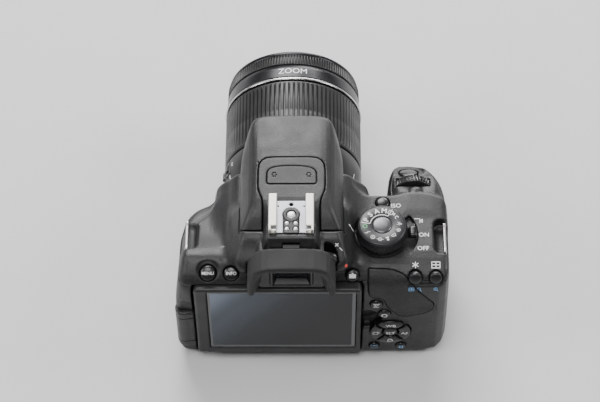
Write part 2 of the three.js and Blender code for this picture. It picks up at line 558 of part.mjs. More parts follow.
// The two switches on the left of the barrel slide in its wall.
const SWITCHES = { focus_mode_switch: 16, stabiliser_switch: 4 };
for (const [name, rise] of Object.entries(SWITCHES)) {
  const place = new THREE.Matrix4().makeTranslation(0, 0, AXIS_Z)
    .multiply(new THREE.Matrix4().makeRotationY(turn(rise + 4)));
  const knob = new THREE.BoxGeometry(1.2, 4, 3).translate(-LENS_R - 1, 61, 0);
  add(name, solid(knob.applyMatrix4(place)), BUTTON);
}

export default camera;
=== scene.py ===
"""Looks of a digital single-lens reflex camera with its kit zoom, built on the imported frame."""
import bpy
import bmesh
import json
import math
import numpy as np
from mathutils import Matrix, Vector
from mathutils.bvhtree import BVHTree

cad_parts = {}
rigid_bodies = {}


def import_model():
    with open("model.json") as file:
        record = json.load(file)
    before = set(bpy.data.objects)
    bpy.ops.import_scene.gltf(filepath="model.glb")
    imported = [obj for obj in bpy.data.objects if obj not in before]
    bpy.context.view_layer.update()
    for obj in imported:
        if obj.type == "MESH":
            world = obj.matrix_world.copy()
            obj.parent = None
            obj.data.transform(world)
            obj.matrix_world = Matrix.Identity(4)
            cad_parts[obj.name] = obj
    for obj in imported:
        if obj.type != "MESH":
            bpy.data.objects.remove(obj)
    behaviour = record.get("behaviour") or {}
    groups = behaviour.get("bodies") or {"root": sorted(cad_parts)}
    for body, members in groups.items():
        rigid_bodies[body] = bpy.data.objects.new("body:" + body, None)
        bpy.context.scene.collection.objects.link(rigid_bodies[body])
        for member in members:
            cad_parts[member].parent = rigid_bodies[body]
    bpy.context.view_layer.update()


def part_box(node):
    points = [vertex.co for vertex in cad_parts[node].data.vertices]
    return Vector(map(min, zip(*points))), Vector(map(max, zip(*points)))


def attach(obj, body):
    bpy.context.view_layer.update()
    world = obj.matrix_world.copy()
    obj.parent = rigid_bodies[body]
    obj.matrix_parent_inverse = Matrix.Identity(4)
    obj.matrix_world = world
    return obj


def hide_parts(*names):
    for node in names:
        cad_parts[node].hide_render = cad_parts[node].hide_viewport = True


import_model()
MM = 0.001
BODY = "camera_body"
AXIS = 40.0  # height of the lens axis
UP, FORWARD, BACK = (0, 0, 1), (0, 1, 0), (0, -1, 0)


def span(node):
    """Lowest and highest corner of a CAD node, in millimetres."""
    low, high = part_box(node)
    return np.array(low) / MM, np.array(high) / MM


def middle(node):
    low, high = span(node)
    return (low + high) / 2


# ---------------------------------------------------------------- materials
GLOSS_PITCH = 9  # mm between patches of more and less gloss
EDGE = (0.52, 0.62)  # pointiness where the lightening of sharp edges begins and where it is full


def material(name, color, rough, metal=0.0, grain=0.0, size=0.5, mottle=0.15, edge_lightening=0.0, coat=0.0,
             specular=0.5, rough_var=0.06):
    """A moulded, painted or metal finish. grain is bump height in mm and size is its pitch in mm."""
    mat = bpy.data.materials.new(name)
    mat.use_nodes = True
    nodes, links = mat.node_tree.nodes, mat.node_tree.links
    bsdf = nodes["Principled BSDF"]
    bsdf.inputs["Metallic"].default_value = metal
    bsdf.inputs["Specular IOR Level"].default_value = specular
    bsdf.inputs["Coat Weight"].default_value = coat
    bsdf.inputs["Coat Roughness"].default_value = 0.08
    where = nodes.new("ShaderNodeTexCoord")

    def noise(pitch, detail=2.0):
        node = nodes.new("ShaderNodeTexNoise")
        node.inputs["Scale"].default_value = 1 / (pitch * MM)
        node.inputs["Detail"].default_value = detail
        links.new(where.outputs["Object"], node.inputs["Vector"])
        return node.outputs["Fac"]

    def remap(value, low, high, from_low=0.3, from_high=0.7):
        node = nodes.new("ShaderNodeMapRange")
        for key, number in zip(("From Min", "From Max", "To Min", "To Max"),
                               (from_low, from_high, low, high)):
            node.inputs[key].default_value = number
        links.new(value, node.inputs["Value"])
        return node.outputs["Result"]

    def shade(factor, *tints):
        """A mix of tints, each a colour or the output of another node."""
        node = nodes.new("ShaderNodeMix")
        node.data_type = "RGBA"
        links.new(factor, node.inputs["Factor"])
        for key, tint in zip("AB", tints):
            if isinstance(tint, list):
                node.inputs[key].default_value = (*[min(1, c) for c in tint], 1)
            else:
                links.new(tint, node.inputs[key])
        return node.outputs["Result"]

    base = shade(remap(noise(size * 1.5), 0, 1), [c * (1 - mottle) for c in color],
                 [c * (1 + mottle) for c in color])
    # Sharp convex edges, found by pointiness, are painted lighter in the base colour.
    if edge_lightening:
        geometry = nodes.new("ShaderNodeNewGeometry")
        edge = remap(geometry.outputs["Pointiness"], 0, edge_lightening, *EDGE)
        base = shade(edge, base, [c * 2.2 + 0.05 for c in color])
    links.new(base, bsdf.inputs["Base Color"])
    links.new(remap(noise(GLOSS_PITCH, 3), rough - rough_var, rough + rough_var), bsdf.inputs["Roughness"])
    if grain:
        bump = nodes.new("ShaderNodeBump")
        bump.inputs["Distance"].default_value = grain * MM
        bump.inputs["Strength"].default_value = 1
        links.new(noise(size, 1.5), bump.inputs["Height"])
        links.new(bump.outputs["Normal"], bsdf.inputs["Normal"])
    return mat


SHELL = material("moulded_black", (0.013, 0.013, 0.0138), 0.44, grain=0.11, size=0.55, mottle=0.5, edge_lightening=0.05)
SMOOTH = material("satin_black", (0.012, 0.012, 0.013), 0.36, grain=0.006, size=0.5, edge_lightening=0.1)
CASE = material("screen_case_black", (0.015, 0.015, 0.016), 0.46, grain=0.02, size=0.36, mottle=0.2, edge_lightening=0.1)
RUBBER = material("grained_rubber", (0.013, 0.013, 0.0135), 0.6, grain=0.16, size=0.85, mottle=0.4)
SOFT = material("eyecup_rubber", (0.012, 0.012, 0.0125), 0.62, grain=0.02, size=0.5, mottle=0.2)
KEYS = material("key_black", (0.009, 0.009, 0.0095), 0.3, grain=0.004, size=0.4, coat=0.1)
BARREL = material("barrel_black", (0.011, 0.011, 0.012), 0.4, grain=0.01, size=0.3, mottle=0.2)
RIBS = material("ribbed_rubber", (0.015, 0.015, 0.0155), 0.45, grain=0.012, size=0.4, mottle=0.2)
BAND = material("name_band", (0.012, 0.012, 0.014), 0.3, metal=0.4, grain=0.002, size=0.2)
RING = material("silver_ring", (0.66, 0.65, 0.64), 0.26, metal=1, mottle=0.03)
RAIL = material("rail_steel", (0.7, 0.68, 0.62), 0.42, metal=0.55, grain=0.004, size=0.25, mottle=0.08)
BED = material("shoe_bed", (0.42, 0.43, 0.45), 0.42, metal=0.75, grain=0.004, size=0.25, mottle=0.08)
LUG = material("lug_steel", (0.42, 0.41, 0.4), 0.38, metal=0.9, grain=0.004, size=0.3, mottle=0.1)
CHROME = material("chrome", (0.78, 0.78, 0.8), 0.16, metal=1, grain=0.001, size=0.4, mottle=0.05)
PLATED = material("contact_plating", (0.6, 0.6, 0.61), 0.36, metal=0.8, grain=0.003, size=0.2, mottle=0.1)
# Near black: the real black of the mirror box and sensor window, and painted shade in holes and gaps.
BLACK_AND_SHADE = material("recess_black", (0.002, 0.002, 0.002), 0.6, grain=0.01, size=0.5)
CAP = material("dial_cap", (0.12, 0.12, 0.125), 0.3, metal=0.7, grain=0.003, size=0.25, mottle=0.1)
DIALTOP = material("dial_top", (0.03, 0.03, 0.032), 0.38, metal=0.3, grain=0.004, size=0.3)
GLASS = material("coated_glass", (0.012, 0.014, 0.02), 0.05, coat=1, specular=0.8, rough_var=0.01)
BOARD = material("board", (0.03, 0.1, 0.06), 0.5, grain=0.02, size=1.5)
WHITE, GREY, GREEN, BLUE = (
    material("mark_" + name, color, 0.45, grain=0.002, size=0.3, mottle=0.03) for name, color in (
        ("white", (0.8, 0.8, 0.79)), ("grey", (0.3, 0.3, 0.31)), ("green", (0.12, 0.5, 0.2)),
        ("blue", (0.25, 0.5, 0.85))))
RED = material("mark_red", (0.75, 0.06, 0.04), 0.4, grain=0.002, size=0.3, mottle=0.03)


def screen_material():
    """A switched-off display: dark, with a painted reflection in its base colour, a pale sheen that falls
    away from one corner.
    """
    mat = material("display", (0.03, 0.034, 0.042), 0.14, coat=0.2, specular=0.3, rough_var=0.02)
    nodes, links = mat.node_tree.nodes, mat.node_tree.links
    low, high = span("screen_window")
    where = nodes.new("ShaderNodeTexCoord")
    split = nodes.new("ShaderNodeSeparateXYZ")
    links.new(where.outputs["Object"], split.inputs["Vector"])
    parts = []
    for axis, a, b in (("X", low[0], high[0]), ("Z", high[2], low[2])):
        reach = nodes.new("ShaderNodeMapRange")
        reach.inputs["From Min"].default_value = a * MM
        reach.inputs["From Max"].default_value = b * MM
        links.new(split.outputs[axis], reach.inputs["Value"])
        parts.append(reach.outputs["Result"])
    total = nodes.new("ShaderNodeMath")
    total.operation = "MULTIPLY_ADD"
    total.inputs[1].default_value = 0.55
    links.new(parts[1], total.inputs[0])
    links.new(parts[0], total.inputs[2])
    # The base colour carries a painted reflection: pale blue-grey at one corner, falling to near black across
    # the display.
    ramp = nodes.new("ShaderNodeValToRGB")
    ramp.color_ramp.interpolation = "EASE"
    stops = ((0.0, (0.2, 0.235, 0.3)), (0.3, (0.06, 0.072, 0.095)), (0.7, (0.014, 0.017, 0.022)),
             (1.0, (0.004, 0.0045, 0.006)))
    for i, (at, color) in enumerate(stops):
        stop = ramp.color_ramp.elements[i] if i < 2 else ramp.color_ramp.elements.new(at)
        stop.position = at
        stop.color = (*color, 1)
    links.new(total.outputs[0], ramp.inputs["Fac"])
    links.new(ramp.outputs["Color"], nodes["Principled BSDF"].inputs["Base Color"])
    return mat


DISPLAY = screen_material()


# ---------------------------------------------------------------- pieces
def piece(name, mesh, mat, body=BODY, replaces=(), smooth=True):
    """A named piece that rides a body and replaces CAD nodes."""
    obj = bpy.data.objects.new(name, mesh)
    bpy.context.scene.collection.objects.link(obj)
    mesh.materials.append(mat)
    if smooth:
        mesh.polygons.foreach_set("use_smooth", [True] * len(mesh.polygons))
    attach(obj, body)
    if replaces:
        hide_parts(*replaces)
    return obj


def mesh_from(name, verts, faces):
    mesh = bpy.data.meshes.new(name)
    mesh.from_pydata([tuple(v) for v in verts], [], [tuple(f) for f in faces])
    mesh.update()
    return mesh


# ---------------------------------------------------------------- distance fields, in millimetres
ROOT_2 = 1.414


def smin(a, b, k):
    """The union of two fields, blended over a width of about k."""
    h = np.clip(0.5 + 0.5 * (b - a) / k, 0, 1)
    return b + (a - b) * h - k * h * (1 - h)


def smax(a, b, k):
    return -smin(-a, -b, k)


def meet(first, *others):
    """What lies in every one of the fields."""
    for other in others:
        first = np.maximum(first, other)
    return first


def away(*offsets):
    """Distance from a line or a point, from the offsets to it."""
    return np.sqrt(sum(c ** 2 for c in offsets))


def rounded(points, steps=4):
    """The outline through [x, y, corner radius] points, as a closed list of [x, y]."""
    out = []
    pts = [(p[0], p[1], p[2] if len(p) > 2 else 0) for p in points]
    for i, (x, y, r) in enumerate(pts):
        at = np.array([x, y], float)
        before = np.array(pts[i - 1][:2]) - at
        after = np.array(pts[(i + 1) % len(pts)][:2]) - at
        if r <= 0:
            out.append(at)
            continue
        a = at + before * min(r / np.linalg.norm(before), 0.49)
        b = at + after * min(r / np.linalg.norm(after), 0.49)
        for t in np.linspace(0, 1, steps + 1):
            out.append(a * (1 - t) ** 2 + 2 * at * t * (1 - t) + b * t * t)
    return np.array(out)


def mirrored(half):
    """The outline whose right half goes through [x, y, corner radius] points, the same on the left."""
    left = [(-x, *rest) for x, *rest in half if x]
    return rounded([left[0], *half, *left[:0:-1]])


def poly(u, v, outline):
    """Signed distance to a closed outline."""
    best = None
    inside = None
    for (ax, ay), (bx, by) in zip(outline, np.roll(outline, -1, axis=0)):
        ex, ey = bx - ax, by - ay
        wx, wy = u - ax, v - ay
        t = np.clip((wx * ex + wy * ey) / max(ex * ex + ey * ey, 1e-12), 0, 1)
        d = (wx - ex * t) ** 2 + (wy - ey * t) ** 2
        above = (ay <= v) & (by > v) & (ex * wy < ey * wx)
        below = (ay > v) & (by <= v) & (ex * wy > ey * wx)
        flip = above | below
        best = d if best is None else np.minimum(best, d)
        inside = flip if inside is None else inside ^ flip
    return np.sqrt(best) * np.where(inside, -1, 1)


def ext(flat, along, low, high, r=0.0):
    """A flat outline given depth along an axis, its edges rounded by r."""
    a = flat + r
    b = np.abs(along - (low + high) / 2) - (high - low) / 2 + r
    return away(np.maximum(a, 0), np.maximum(b, 0)) + np.minimum(np.maximum(a, b), 0) - r


def rbox(x, y, z, low, high, r=0.0):
    """A box between two corners, its edges rounded by r."""
    q = [np.abs(c - (a + b) / 2) - (b - a) / 2 + r for c, a, b in zip((x, y, z), low, high)]
    return away(*(np.maximum(c, 0) for c in q)) + np.minimum(meet(*q), 0) - r


def rod(x, y, z, at, axis, radius, low, high, r=0.0):
    """A round bar about an axis through a point, between two heights along it."""
    axis = np.array(axis, float) / np.linalg.norm(axis)
    px, py, pz = x - at[0], y - at[1], z - at[2]
    h = px * axis[0] + py * axis[1] + pz * axis[2]
    radial = np.sqrt(np.maximum(px ** 2 + py ** 2 + pz ** 2 - h ** 2, 0))
    return ext(radial - radius, h, low, high, r)


PROBE = 0.02  # mm between the two readings that give a slope
FLATTEST = 0.25  # least squared slope that a move is worked out from
FARTHEST = 0.8  # longest move, as a share of a step
SMOOTHING = 0.5  # share of the way to the mean of the neighbours


def net(name, field, low, high, step):
    """Surface nets over a field, with every vertex then moved onto its surface."""
    axes = [np.arange(a - step, b + 2 * step, step) for a, b in zip(low, high)]
    grid = np.meshgrid(*axes, indexing="ij", sparse=True)
    solid = np.broadcast_to(field(*grid), [len(a) for a in axes]) < 0
    count = np.zeros([n - 1 for n in solid.shape], np.int8)
    for i in (0, 1):
        for j in (0, 1):
            for k in (0, 1):
                count += solid[i:i + count.shape[0], j:j + count.shape[1], k:k + count.shape[2]]
    mixed = (count > 0) & (count < 8)
    index = np.full(mixed.shape, -1, np.int64)
    cells = np.argwhere(mixed)
    index[mixed] = np.arange(len(cells))
    start = np.array([a[0] for a in axes])
    verts = start + (cells + 0.5) * step
    quads = []
    for axis in range(3):
        b, c = [(1, 2), (2, 0), (0, 1)][axis]
        ahead = np.swapaxes(solid, 0, axis)
        ahead = np.swapaxes(ahead[1:], 0, axis)
        here = np.swapaxes(np.swapaxes(solid, 0, axis)[:-1], 0, axis)
        for sign, cross in ((1, here & ~ahead), (-1, ~here & ahead)):
            at = np.argwhere(cross)
            at = at[(at[:, b] > 0) & (at[:, c] > 0)]
            ring = []
            for db, dc in ((-1, -1), (0, -1), (0, 0), (-1, 0)):
                q = at.copy()
                q[:, b] += db
                q[:, c] += dc
                keep = np.minimum(q, np.array(index.shape) - 1)
                ring.append(index[keep[:, 0], keep[:, 1], keep[:, 2]])
            ring = np.stack(ring, 1)
            quads.append(ring if sign > 0 else ring[:, ::-1])
    quads = np.concatenate(quads)
    quads = quads[(quads >= 0).all(1)]

    def settle(p, rounds):
        for _ in range(rounds):
            d = field(p[:, 0], p[:, 1], p[:, 2])
            g = [field(*(p[:, i] + PROBE * (i == a) for i in range(3))) - d for a in range(3)]
            g = np.stack(g, 1) / PROBE
            move = -(d / np.maximum((g ** 2).sum(1), FLATTEST))[:, None] * g
            length = np.linalg.norm(move, axis=1, keepdims=True)
            p = p + move * np.minimum(1, FARTHEST * step / np.maximum(length, 1e-9))
        return p

    verts = settle(verts, 1)
    a = quads.ravel()
    b = np.roll(quads, 1, 1).ravel()
    total = np.zeros_like(verts)
    weight = np.bincount(a, minlength=len(verts)) + np.bincount(b, minlength=len(verts))
    for i in range(3):
        total[:, i] = np.bincount(a, verts[b, i], len(verts)) + np.bincount(b, verts[a, i], len(verts))
    mean = total / np.maximum(weight, 1)[:, None]
    verts = settle(verts + SMOOTHING * (mean - verts), 2)
    mesh = bpy.data.meshes.new(name)
    mesh.vertices.add(len(verts))
    mesh.vertices.foreach_set("co", (verts * MM).astype(np.float32).ravel())
    mesh.loops.add(len(quads) * 4)
    mesh.loops.foreach_set("vertex_index", quads.astype(np.int32).ravel())
    mesh.polygons.add(len(quads))
    mesh.polygons.foreach_set("loop_start", np.arange(0, len(quads) * 4, 4, dtype=np.int32))
    mesh.update(calc_edges=True)
    mesh.validate()
    return mesh


def form(name, field, low, high, step, mat, body=BODY, replaces=()):
    """A piece meshed from a field."""
    return piece(name, net(name, field, low, high, step), mat, body, replaces)


# ---------------------------------------------------------------- the body's form
DECK = 70.0
REAR = -15.2
PLAN = rounded([(-57.8, REAR, 7), (76.4, REAR, 11), (76.4, 32, 6), (60, 35, 4), (46, 33.5, 3),
                (-34, 33.5, 5), (-44, 32, 6), (-50.5, 26.5, 7), (-53.8, 16, 6), (-54.8, 4, 8)])
GRIP = rounded([(47, 16), (76.4, 16, 4), (76.3, 33, 8), (72.6, 46.5, 9), (66, 54.5, 8), (58.5, 58.2, 7),
                (51, 57, 6), (47.4, 50, 5), (46.3, 38, 4)])
FRONT = rounded([(-58.4, 0, 12), (76.8, 0, 20), (77.4, 26, 20), (76.6, 58, 9), (74.5, 76), (-53, 76),
                 (-54.4, 62, 10), (-58.6, 44, 16)])
SIDE = rounded([(REAR, -4), (REAR, 60, 5), (-13.2, 66.3, 5), (-4, DECK + 0.6, 9), (20, DECK, 8),
                (90, DECK), (90, -4)])
RIDGE = rounded([(REAR, 52), (REAR, 62.5, 2), (-12.6, 67.2, 3), (-5.4, 72.8, 3), (-1.8, 73.4, 4),
                 (4, 71, 5), (14, 64), (14, 52)])
SKIRT = mirrored([(38, 58), (36.5, 66, 6), (29, 72.5, 9), (26.2, 79.6, 3)])
HUMP = mirrored([(13.3, -8), (13.3, 14.5, 3), (15.7, 20, 3), (15.7, 38.6, 7)])
EYE_ROOM = mirrored([(21, 64.6, 4), (21, 93, 9)])
HOOD = mirrored([(9.3, -11.4, 1), (12.4, -6.4, 1), (13.2, -1)])
TOP = 94.6
PIVOT = (-0.5, 83.6)
ARM_END = 3.7  # radius about the pivot at which the arms of the flash begin
KNUCKLE = 3.4  # radius of the body between them, which the arms turn round
FLASH_SECTION = mirrored([(25.8, 75, 2), (25.9, 80, 3), (23.6, 86.5, 6), (17.3, 94.8, 6), (0, 95.1, 9)])
FLASH_SIDE = rounded([(0.5, 81.5), (2.4, 79.9), (43, 79.9), (44, 76, 1), (63, 75.4, 4), (66.2, 80, 4),
                      (65.6, 92.9, 2), (40, 95, 9), (17, 95.2, 8), (8.5, 91.6, 7), (2.2, 86.8, 0.6),
                      (-1, 84.5)])
FLASH_PLAN = mirrored([(25.9, -4.8, 2), (26, 44, 9), (19.8, 63.4, 4), (10, 65.9, 8)])


def from_pivot(y, z):
    return away(y - PIVOT[0], z - PIVOT[1])


def flash_form(x, y, z):
    """The pop-up housing as one closed form, before the hump between its arms is cut out."""
    d = smax(smax(poly(x, z, FLASH_SECTION), poly(y, z, FLASH_SIDE), 2.2), poly(x, y, FLASH_PLAN), 3)
    return smax(d, ARM_END - from_pivot(y, z), 0.3)


def hump_core(x, y, z, grow=0.0, deep=0.0):
    """What stays down between the arms of the flash; deep hollows its front for the swing."""
    front = np.where(z < TOP - 1.0, deep, 0.0)
    return poly(x, y - np.clip(y - 30, 0, 1) * front, HUMP) - grow


def button_list():
    """Every round push button: its centre, the way its face looks, and its radius."""
    tilts = {"menu_button": 35, "info_button": 35, "live_view_button": 45, "ae_lock_button": 60,
             "af_point_button": 60, "exposure_button": 90, "quick_button": 90, "playback_button": 90,
             "erase_button": 90, "set_button": 90, "iso_button": 0, "shutter_button": -35,
             "flash_button": -90, "lens_release_button": -90}
    out = {}
    for name, degrees in tilts.items():
        low, high = span(name)
        tilt = math.radians(degrees)
        axis = np.array([0, -math.sin(tilt), math.cos(tilt)])
        out[name] = (middle(name), axis, (high[0] - low[0]) / 2)
    return out


BUTTONS = button_list()
DIAL_AT = middle("mode_dial")
DIAL_FOOT = (DIAL_AT[0], DIAL_AT[1], 0)
WHEEL_AT = middle("main_dial")
WHEEL_AXIS = np.array([0, 0.9578, -0.2874])
SCREEN_LOW, SCREEN_HIGH = span("screen_case")
HINGE_LOW, HINGE_HIGH = span("screen_hinge")
HINGE_FOOT = (-52.5, -12.6, 0)
KEY_X = (middle("key_left")[0] + middle("key_right")[0]) / 2
KEY_Z = (middle("key_up")[2] + middle("key_down")[2]) / 2
DOORS = {}
for door, behind, ahead in (
    ("card_door", (-8, 0, 0), (9, -0.8, 0)),
    ("terminal_door", (-9, 0, 0), (8, 0, 0)),
):
    low, high = span(door)
    DOORS[door] = (low + behind, high + ahead)


def shoulder(x, y, z):
    """The flanks of the shoe's block, which fall away towards the rear."""
    fall = np.clip((14 - y) / 13, 0, 1) * 3.0
    return (z - TOP + fall * (np.abs(x) - 10.95)) / np.sqrt(1 + fall ** 2)


def solid_body(x, y, z):
    """The closed outer form of the body, before its recesses."""
    block = smax(ext(poly(x, y, PLAN), z, 0, 90, 0), poly(y, z, SIDE), 2)
    block = smax(block, -z, 5)
    left = (z - (67.2 + 0.16 * (x + 50) - 0.2 * (y - 8))) / 1.03
    block = smax(block, left - 6 * np.clip((x + 14) / 12, 0, 9), 4)
    block = smin(block, ext(poly(y, z, RIDGE), x, -53.5, -20, 5), 5)
    block = smin(block, ext(poly(x, y, GRIP), z, 0, 69.3, 10), 3)
    block = smin(block, rod(x, y, z, (0, 0, AXIS), FORWARD, 36.8, 10, 43.5, 2.5), 7)
    block = smin(block, ext(poly(x, z, SKIRT), y, -8, 43.2, 3), 5)
    block = smax(block, poly(x, z, FRONT), 4)
    mound = rbox(x, y, z, (-25.2, -13.4, 60), (25.2, 20, 86.9), 4)
    mound = smax(mound, (z - 84.6 - 0.9 * (y + 3.5)) / 1.35, 2)
    block = smin(block, smax(mound, poly(x, z, FLASH_SECTION), 2), 10)
    centre = smax(ext(poly(x, y, HUMP), z, 60, TOP, 0.3), shoulder(x, y, z), 0.8)
    hood = smax(ext(poly(x, y, HOOD), z, 80, TOP + 0.6, 0.8), (z - 94.6 - 1.15 * (y + 8.2)) / 1.52, 0.6)
    hood = smax(hood, shoulder(x, y, z), 0.8)
    return smin(smin(block, centre, 1.5), hood, 2.0)


def recessed_body(x, y, z):
    """The body's outer form with its recesses and the rooms of its moving pieces."""
    d = solid_body(x, y, z)
    skin = d
    d = smax(d, -(flash_form(x, y, z) - 0.32), 0.2)
    knuckle = from_pivot(y, z)
    d = smax(d, -meet(KNUCKLE - knuckle, knuckle - 6, PIVOT[1] - z, -3 - y, np.abs(x) - 26.3), 0.1)
    core = smax(ext(hump_core(x, y, z), z, 78, TOP, 0.3), shoulder(x, y, z), 0.8)
    d = np.minimum(d, np.maximum(core, -(y + 5)))
    bore = away(x, z - AXIS) - np.where(y < 42.1, 27.9, 33.9)
    d = np.maximum(d, -np.maximum(bore, 12 - y))
    facet = meet((69.3 - 0.3 * (y - 35) - z) / 1.044, 35.4 - y, 47.5 - x)
    d = smax(d, -facet, 0.8)

    def cut(shape, k=0.4):
        nonlocal d
        d = smax(d, -shape, k)

    cut(rbox(x, y, z, (SCREEN_LOW[0] - 1.1, -30, SCREEN_LOW[2] - 0.7),
             (SCREEN_HIGH[0] + 0.8, -8.6, SCREEN_HIGH[2] + 2), 2.5))
    cut(rod(x, y, z, HINGE_FOOT, UP, 4.7, HINGE_LOW[2] - 0.4, HINGE_HIGH[2] + 0.4, 0.4))
    cut(rbox(x, y, z, (-64, -30, HINGE_LOW[2] - 0.4), (SCREEN_LOW[0] + 1, -7.5, HINGE_HIGH[2] + 0.4), 0.4))
    cut(rod(x, y, z, (35.2, -19, 33), FORWARD, 8.2, 0, 9.5, 3), 1.2)
    cut(ext(poly(x, z, EYE_ROOM), y, -40, -11.4, 0.5), 1.0)
    d = np.minimum(d, rbox(x, y, z, (-16.4, -17, 64.6), (16.4, 0, 85.4), 2.5))
    cut(rbox(x, y, z, (-10.2, -30, 67.8), (10.2, -11.0, 82.4), 2), 0.5)
    cut(rod(x, y, z, (16, -9.5, 78.4), FORWARD, 6.1, -1.9, 6, 0.5), 0.8)
    for low, high in (((-66, 1.2, 63.5), (-45.0, 20.3, 90)), ((67.8, -0.3, 63.5), (90, 19.3, 90))):
        cut(rbox(x, y, z, low, high, 3.2), 0.8)
    cut(rod(x, y, z, DIAL_FOOT, UP, 13.2, 69.6, 90, 0.3), 0.6)
    lever = rod(x, y, z, DIAL_FOOT, UP, 17.3, 68.0, 90, 0.4)
    off = np.abs(y - DIAL_AT[1])
    cut(meet(lever, off - 0.93 * (x - DIAL_AT[0]) + 1.5, off - 11), 0.5)
    wheel = rod(x, y, z, WHEEL_AT, WHEEL_AXIS, 10.9, -3.1, 3.1, 0.3)
    cut(wheel, 0.4)
    bump = away(x - 60, (y - 36.4) / 0.75, (z - 67.4) / 0.75) - 4.0
    d = smin(d, np.maximum(bump * 0.8, -(wheel - 0.2)), 0.8)
    at, axis, radius = BUTTONS["shutter_button"]
    cut(rod(x, y, z, at, axis, radius + 2.6, 0.9, 12, 0.5), 1.2)
    for at, axis, radius in BUTTONS.values():
        cut(rod(x, y, z, at, axis, radius + 0.3, -2.9, 9), 0.25)
    at, axis, radius = BUTTONS["menu_button"]
    cut(rod(x, y, z, at + axis * 2.6 + np.array([0, 1.2, 0.6]), axis, radius + 1.6, -2.1, 9, 1.2), 0.8)
    cut(rbox(x, y, z, (54.4, -30, 62.3), (72.8, -12.4, 68.2), 2.2), 0.7)
    ring = np.maximum(rod(x, y, z, (KEY_X, REAR, KEY_Z), FORWARD, 10.2, -9, 4.2, 0.2),
                      -rod(x, y, z, (KEY_X, REAR, KEY_Z), FORWARD, 4.05, -20, 20))
    px, pz = x - KEY_X, z - KEY_Z
    spokes = np.minimum(np.abs(px - pz), np.abs(px + pz)) / ROOT_2 - 0.9
    cut(np.maximum(ring, -spokes), 0.2)
    cut(rbox(x, y, z, (-10.95, -5.9, TOP - 0.2), (10.95, 15.4, 120), 0.4), 0.3)
    cut(ext(poly(x, y, PLATE) - 0.45, z, TOP - 1.5, 120))
    cut(rbox(x, y, z, (-4.1, -14, 90.2), (4.1, -9, 93.2), 0.3), 0.2)
    for low, high in DOORS.values():
        cut(np.maximum(rbox(x, y, z, low - 0.3, high + 0.3, 0.8), -skin - 2.6), 0.15)
    low, high = DOORS["card_door"]
    cut(rod(x, y, z, (74.5, 19, 0), UP, 2.1, low[2] - 0.3, high[2] + 0.3))
    low, high = span("battery_pack")
    cut(rbox(x, y, z, (low[0] - 0.5, low[1] - 0.5, -5), high + 0.5, 0.5))
    low, high = span("memory_card")
    cut(rbox(x, y, z, low - 0.5, high + (8, 0.5, 0.5), 0.3))
    return d


PLATE = mirrored([(11.5, 23.4, 1), (11.4, 31.4, 2.6), (6, 33.3, 6)])
MIC_HOLES = [(side * 8.2 + 0.95 * math.cos(a), 28.4 + 1.2 * math.sin(a))
             for side in (-1, 1) for a in np.arange(6) * math.pi / 3]
SPEAKER = [(66.2 + 1.7 * i, 41.5 + 1.7 * j) for i in range(3) for j in range(3) if (i, j) != (1, 1)]
PAD = rounded([(36.6, 84, 3), (45, 84, 3), (53, 69, 8), (59.5, 60, 8), (68.8, 46.4, 3), (66, 40, 3),
               (52.6, 34.8, 4), (45.6, 45, 3), (43.8, 52.6, 5), (37.6, 52.8, 3), (36.4, 60, 3)])
PAD_PLAN = rounded([(30, -30), (30, -8.2), (38, -8.0, 2), (49, -8.4, 4), (56, -12.4, 3), (66, -12.0, 2),
                    (75, -8), (75, -30)])
SEAM = 65.0  # height of the seam under the top cover
REAR_SEAM = -4  # where the rear and front covers meet
BASE_TOP = 2.8  # top of the base plate
GAP = 0.09  # half the width of a seam
STEP = 0.75


def pad_region(x, y, z):
    return smax(poly(x, z, PAD), poly(x, y, PAD_PLAN), 1)


def grip_region(x, y, z):
    return meet(z - 56.8, 8 - z, 44 - x, 23 - y)


def body_skin(x, y, z):
    """The recessed body with the rooms of its rubbers cut out."""
    groove = 0.28
    d = recessed_body(x, y, z)
    d = smax(d, -np.maximum(pad_region(x, y, z) - groove, -d - 1.0), 0.2)
    return smax(d, -np.maximum(grip_region(x, y, z) - groove, -d - 1.2), 0.2)


def top_cover(x, y, z):
    return np.maximum(body_skin(x, y, z), SEAM + GAP - z)


def rear_cover(x, y, z):
    return meet(body_skin(x, y, z), z - SEAM + GAP, y - REAR_SEAM + GAP, BASE_TOP + GAP - z)


def front_cover(x, y, z):
    return meet(body_skin(x, y, z), z - SEAM + GAP, REAR_SEAM + GAP - y, BASE_TOP + GAP - z)


BATTERY_LOW, BATTERY_HIGH = span("battery_door")
SOCKET = middle("tripod_socket")
FOOT = rounded([(-30, -6, 3), (34, -6, 3), (34, 30, 3), (-30, 30, 3)])


def base_plate(x, y, z):
    d = meet(solid_body(x, y, z), z - BASE_TOP + GAP, 5.6 - away(x - SOCKET[0], y - SOCKET[1]))
    room = rbox(x, y, z, BATTERY_LOW - (0.3, 0.3, 5), BATTERY_HIGH + (0.3, 0.3, 5), 1)
    ribs = meet(np.abs(np.mod(x + 100, 3.2) - 1.6) - 0.45, poly(x, y, FOOT), z - 0.35)
    return smax(smax(d, -room, 0.2), -ribs, 0.1)


def battery_door(x, y, z):
    d = np.maximum(solid_body(x, y, z), rbox(x, y, z, BATTERY_LOW - (0, 0, 5), BATTERY_HIGH, 1))
    at = ((BATTERY_LOW[0] + BATTERY_HIGH[0]) / 2, BATTERY_LOW[1] + 4, 0)
    return smax(d, -rod(x, y, z, at, UP, 3.4, -1, 0.7, 0.3), 0.2)


